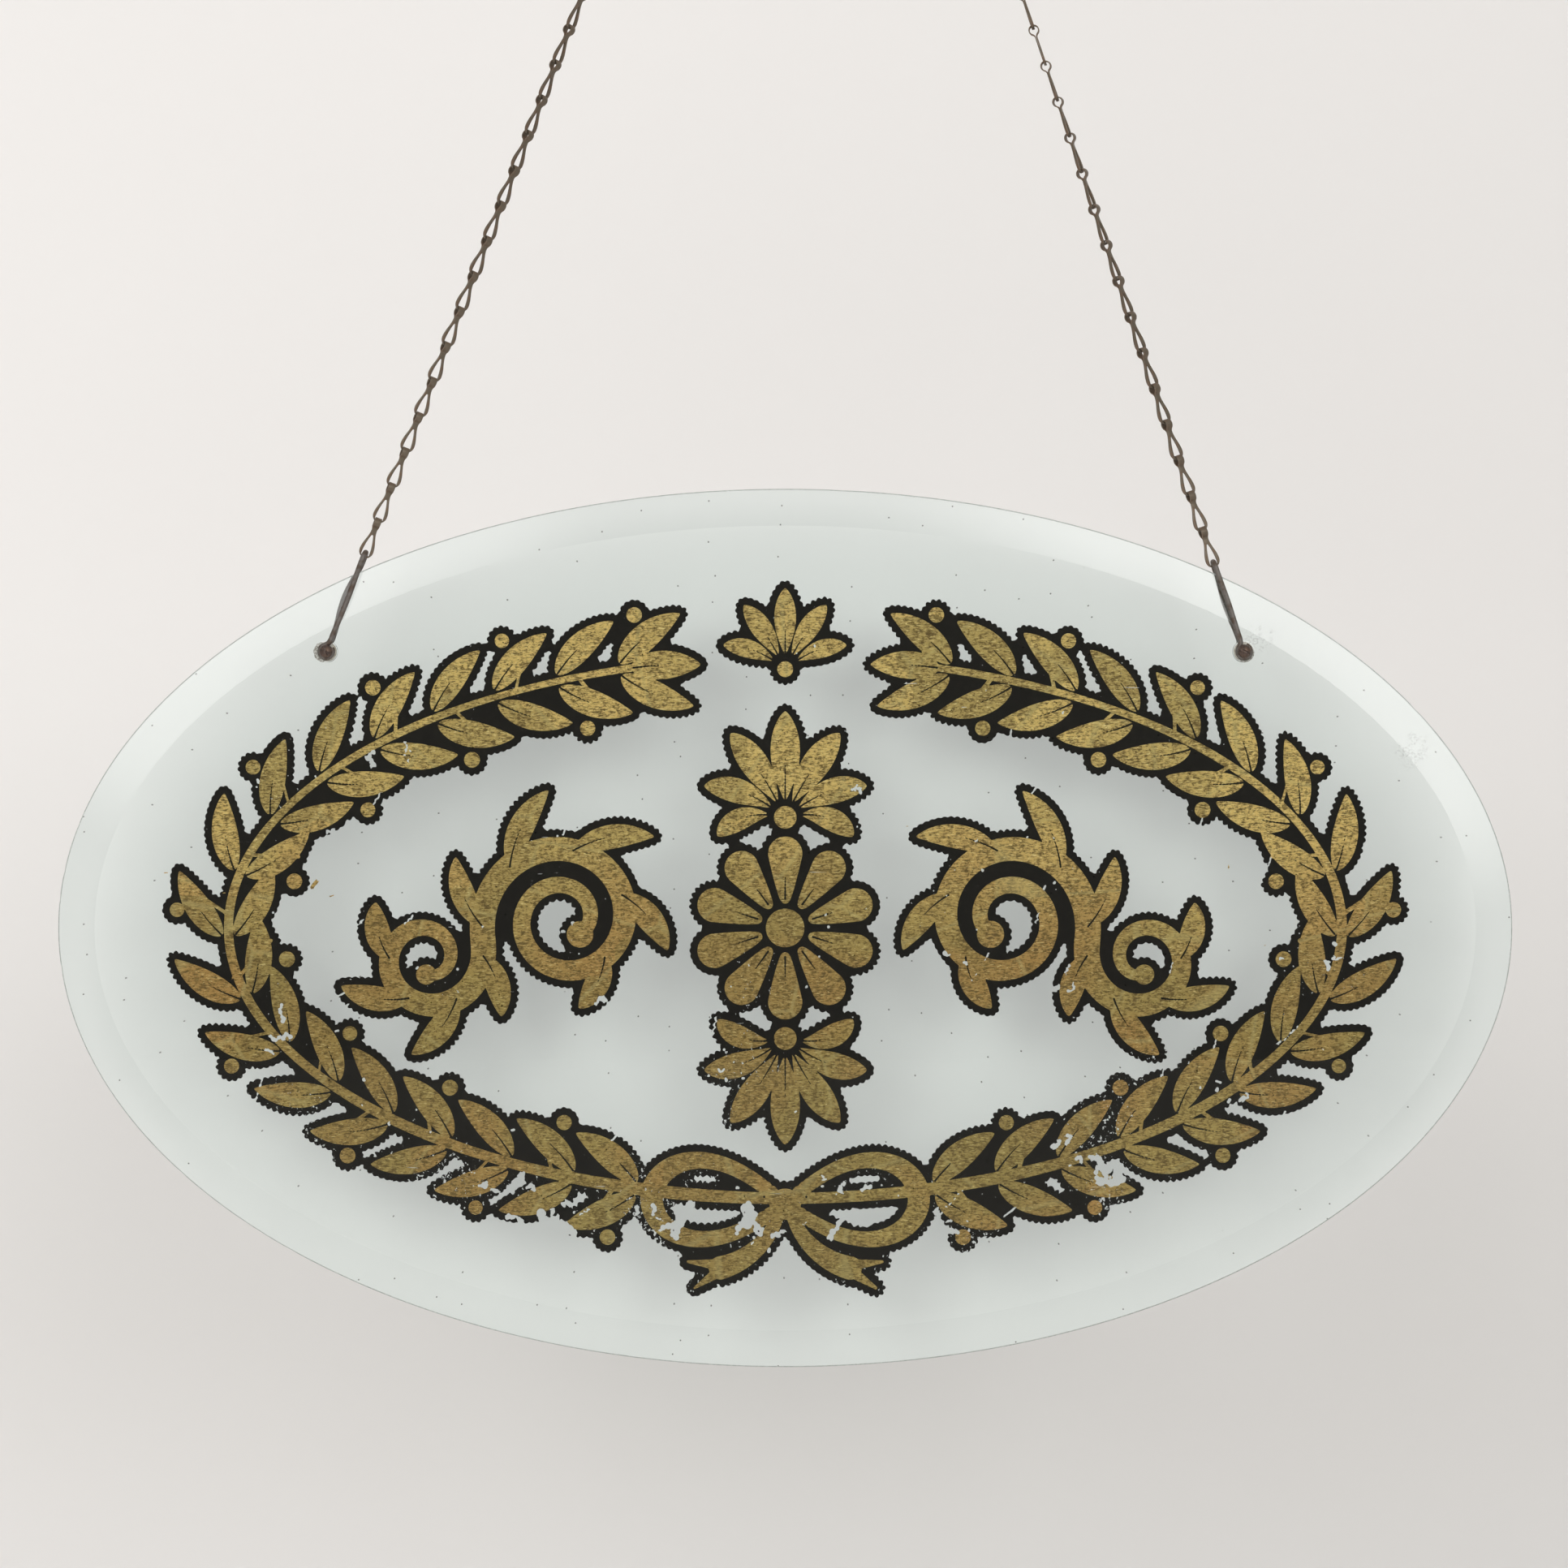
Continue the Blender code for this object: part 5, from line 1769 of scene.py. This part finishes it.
for side in SIDES:
    lean = Matrix.Rotation(math.atan2(chain_up[side].x, chain_up[side].z), 4, "Y")
    for number in range(1, LINKS + 1):
        share = (LINKS - number) / (LINKS - 1)
        twist = TWIST_AT_HOOK[side] + (TWIST_AT_SIGN - TWIST_AT_HOOK[side]) * share
        turn = lean @ Matrix.Rotation(math.radians(twist), 4, "Z")
        node = link_name(side, number)
        add_piece(
            f"{side}_folded_link_{number:02d}", folded, chain_steel, body_of[node],
            Matrix.Translation(contact(side, number)) @ turn, [node],
        )
print(2 * LINKS, "links hung")

# %% [markdown]
# ## The ceiling hooks
#
# The picture stops below the hooks, so they are the common kind that such a chain hangs on: a
# brass cup hook with a screw shank, a round flange and an open bowl. The shank and flange are
# turned, the bowl is a swept wire, and a Boolean joins them. The thread is a ridge that winds
# round the shank.

# %% The shank with its thread
HOOK_WIRE = 0.0040
FLANGE_RADIUS, FLANGE_THICKNESS = 0.0090, 0.0020
SHANK_LENGTH, SHANK_POINT = 0.0240, 0.0060
SHANK_BLUNT, SHANK_TIP = 0.0001, 0.00004
THREAD_PITCH, THREAD_HEIGHT, RIDGE_SHARE = 0.0018, 0.00042, 0.22
RUN_IN_FROM, RUN_IN = 0.005, 0.002
SHANK_ROWS, SHANK_STEPS = 300, 40


def threaded_shank():
    """A tapering shank with a thread: the radius swells once in each turn, and climbs."""
    plain, root = HOOK_WIRE / 2, HOOK_WIRE / 2 - THREAD_HEIGHT
    rise = SHANK_LENGTH + FLANGE_THICKNESS / 2 - SHANK_BLUNT
    rows = []
    for row in range(SHANK_ROWS + 1):
        height = -FLANGE_THICKNESS / 2 + rise * row / SHANK_ROWS
        taper = min(1.0, (SHANK_LENGTH - height) / SHANK_POINT)
        threaded = min(max((height - RUN_IN_FROM) / RUN_IN, 0.0), 1.0)
        smooth = plain * (1 - threaded) + root * threaded
        ring = []
        for step in range(SHANK_STEPS):
            angle = 2 * math.pi * step / SHANK_STEPS
            phase = (height / THREAD_PITCH - step / SHANK_STEPS) % 1.0
            ridge = max(0.0, 1 - abs(phase - 0.5) / RIDGE_SHARE)
            radius = max((smooth + THREAD_HEIGHT * ridge * threaded) * taper, SHANK_TIP)
            ring.append((radius * math.cos(angle), radius * math.sin(angle), height))
        rows.append(ring)
    return lofted("shank", rows, 35.0)


print("shank", 1000 * SHANK_LENGTH, "mm long, a turn of thread every", 1000 * THREAD_PITCH, "mm")

# %% Make and place the hooks
BOWL_RADIUS = 0.0080
BOWL_END = 22.0
HOOK_BEND = 0.0030
FLANGE_BREAK, FLANGE_EDGE, FLANGE_ROUNDING = 0.0003, 0.0004, 0.0022
FLANGE_STEPS = 6

bowl = curl(BOWL_RADIUS, HOOK_BEND, BOWL_END, 12, 56)
bowl_inside = BOWL_RADIUS - HOOK_WIRE / 2
ring_seat = bowl_inside - math.sqrt(bowl_inside**2 - (STRAP_WIDTH / 2) ** 2) + SEAT_PLAY


def hook_mesh(bowl_z):
    """A hook with its flange under a ceiling at 0 and the middle of its bowl at a height."""
    flange = [(0, 0), (FLANGE_RADIUS - FLANGE_BREAK, 0), (FLANGE_RADIUS, -FLANGE_BREAK)]
    for step in range(1, FLANGE_STEPS + 1):
        angle = math.pi / 2 * step / FLANGE_STEPS
        radius = FLANGE_RADIUS - FLANGE_ROUNDING * (1 - math.cos(angle))
        depth = FLANGE_EDGE + (FLANGE_THICKNESS - FLANGE_EDGE) * math.sin(angle)
        flange.append((radius, -depth))
    flange.append((0, -FLANGE_THICKNESS))
    body = carved(turned("flange", flange, 72), threaded_shank(), "UNION")
    path = [(0, 0, -FLANGE_THICKNESS / 2)] + [(u, 0, v + bowl_z) for u, v in bowl]
    mesh = carved(body, wire("bowl", path, HOOK_WIRE / 2, 28), "UNION")
    mesh.set_sharp_from_angle(angle=math.radians(35))
    return mesh


for side in SIDES:
    up_way, across = chain_ways(side)
    twist = math.radians(TWIST_AT_HOOK[side])
    line = across * math.cos(twist) + Vector((0, math.sin(twist), 0))
    inward = (Vector((0, 0, 1)) - line * line.z).normalized()
    bowl_middle = chain_top[side] - up_way * (ring_seat + HOOK_WIRE / 2) + inward * BOWL_RADIUS
    mesh = hook_mesh(bowl_middle.z)
    turn = Matrix.Rotation(math.atan2(line.y, line.x), 4, "Z")
    add_piece(
        side + "_cup_hook", mesh, hook_brass, "fixings",
        Matrix.Translation((bowl_middle.x, bowl_middle.y, 0)) @ turn,
        [side + "_ceiling_hook"],
    )
    print(side, "hook:", len(mesh.polygons), "faces")

# %% Finish
bpy.context.view_layer.update()
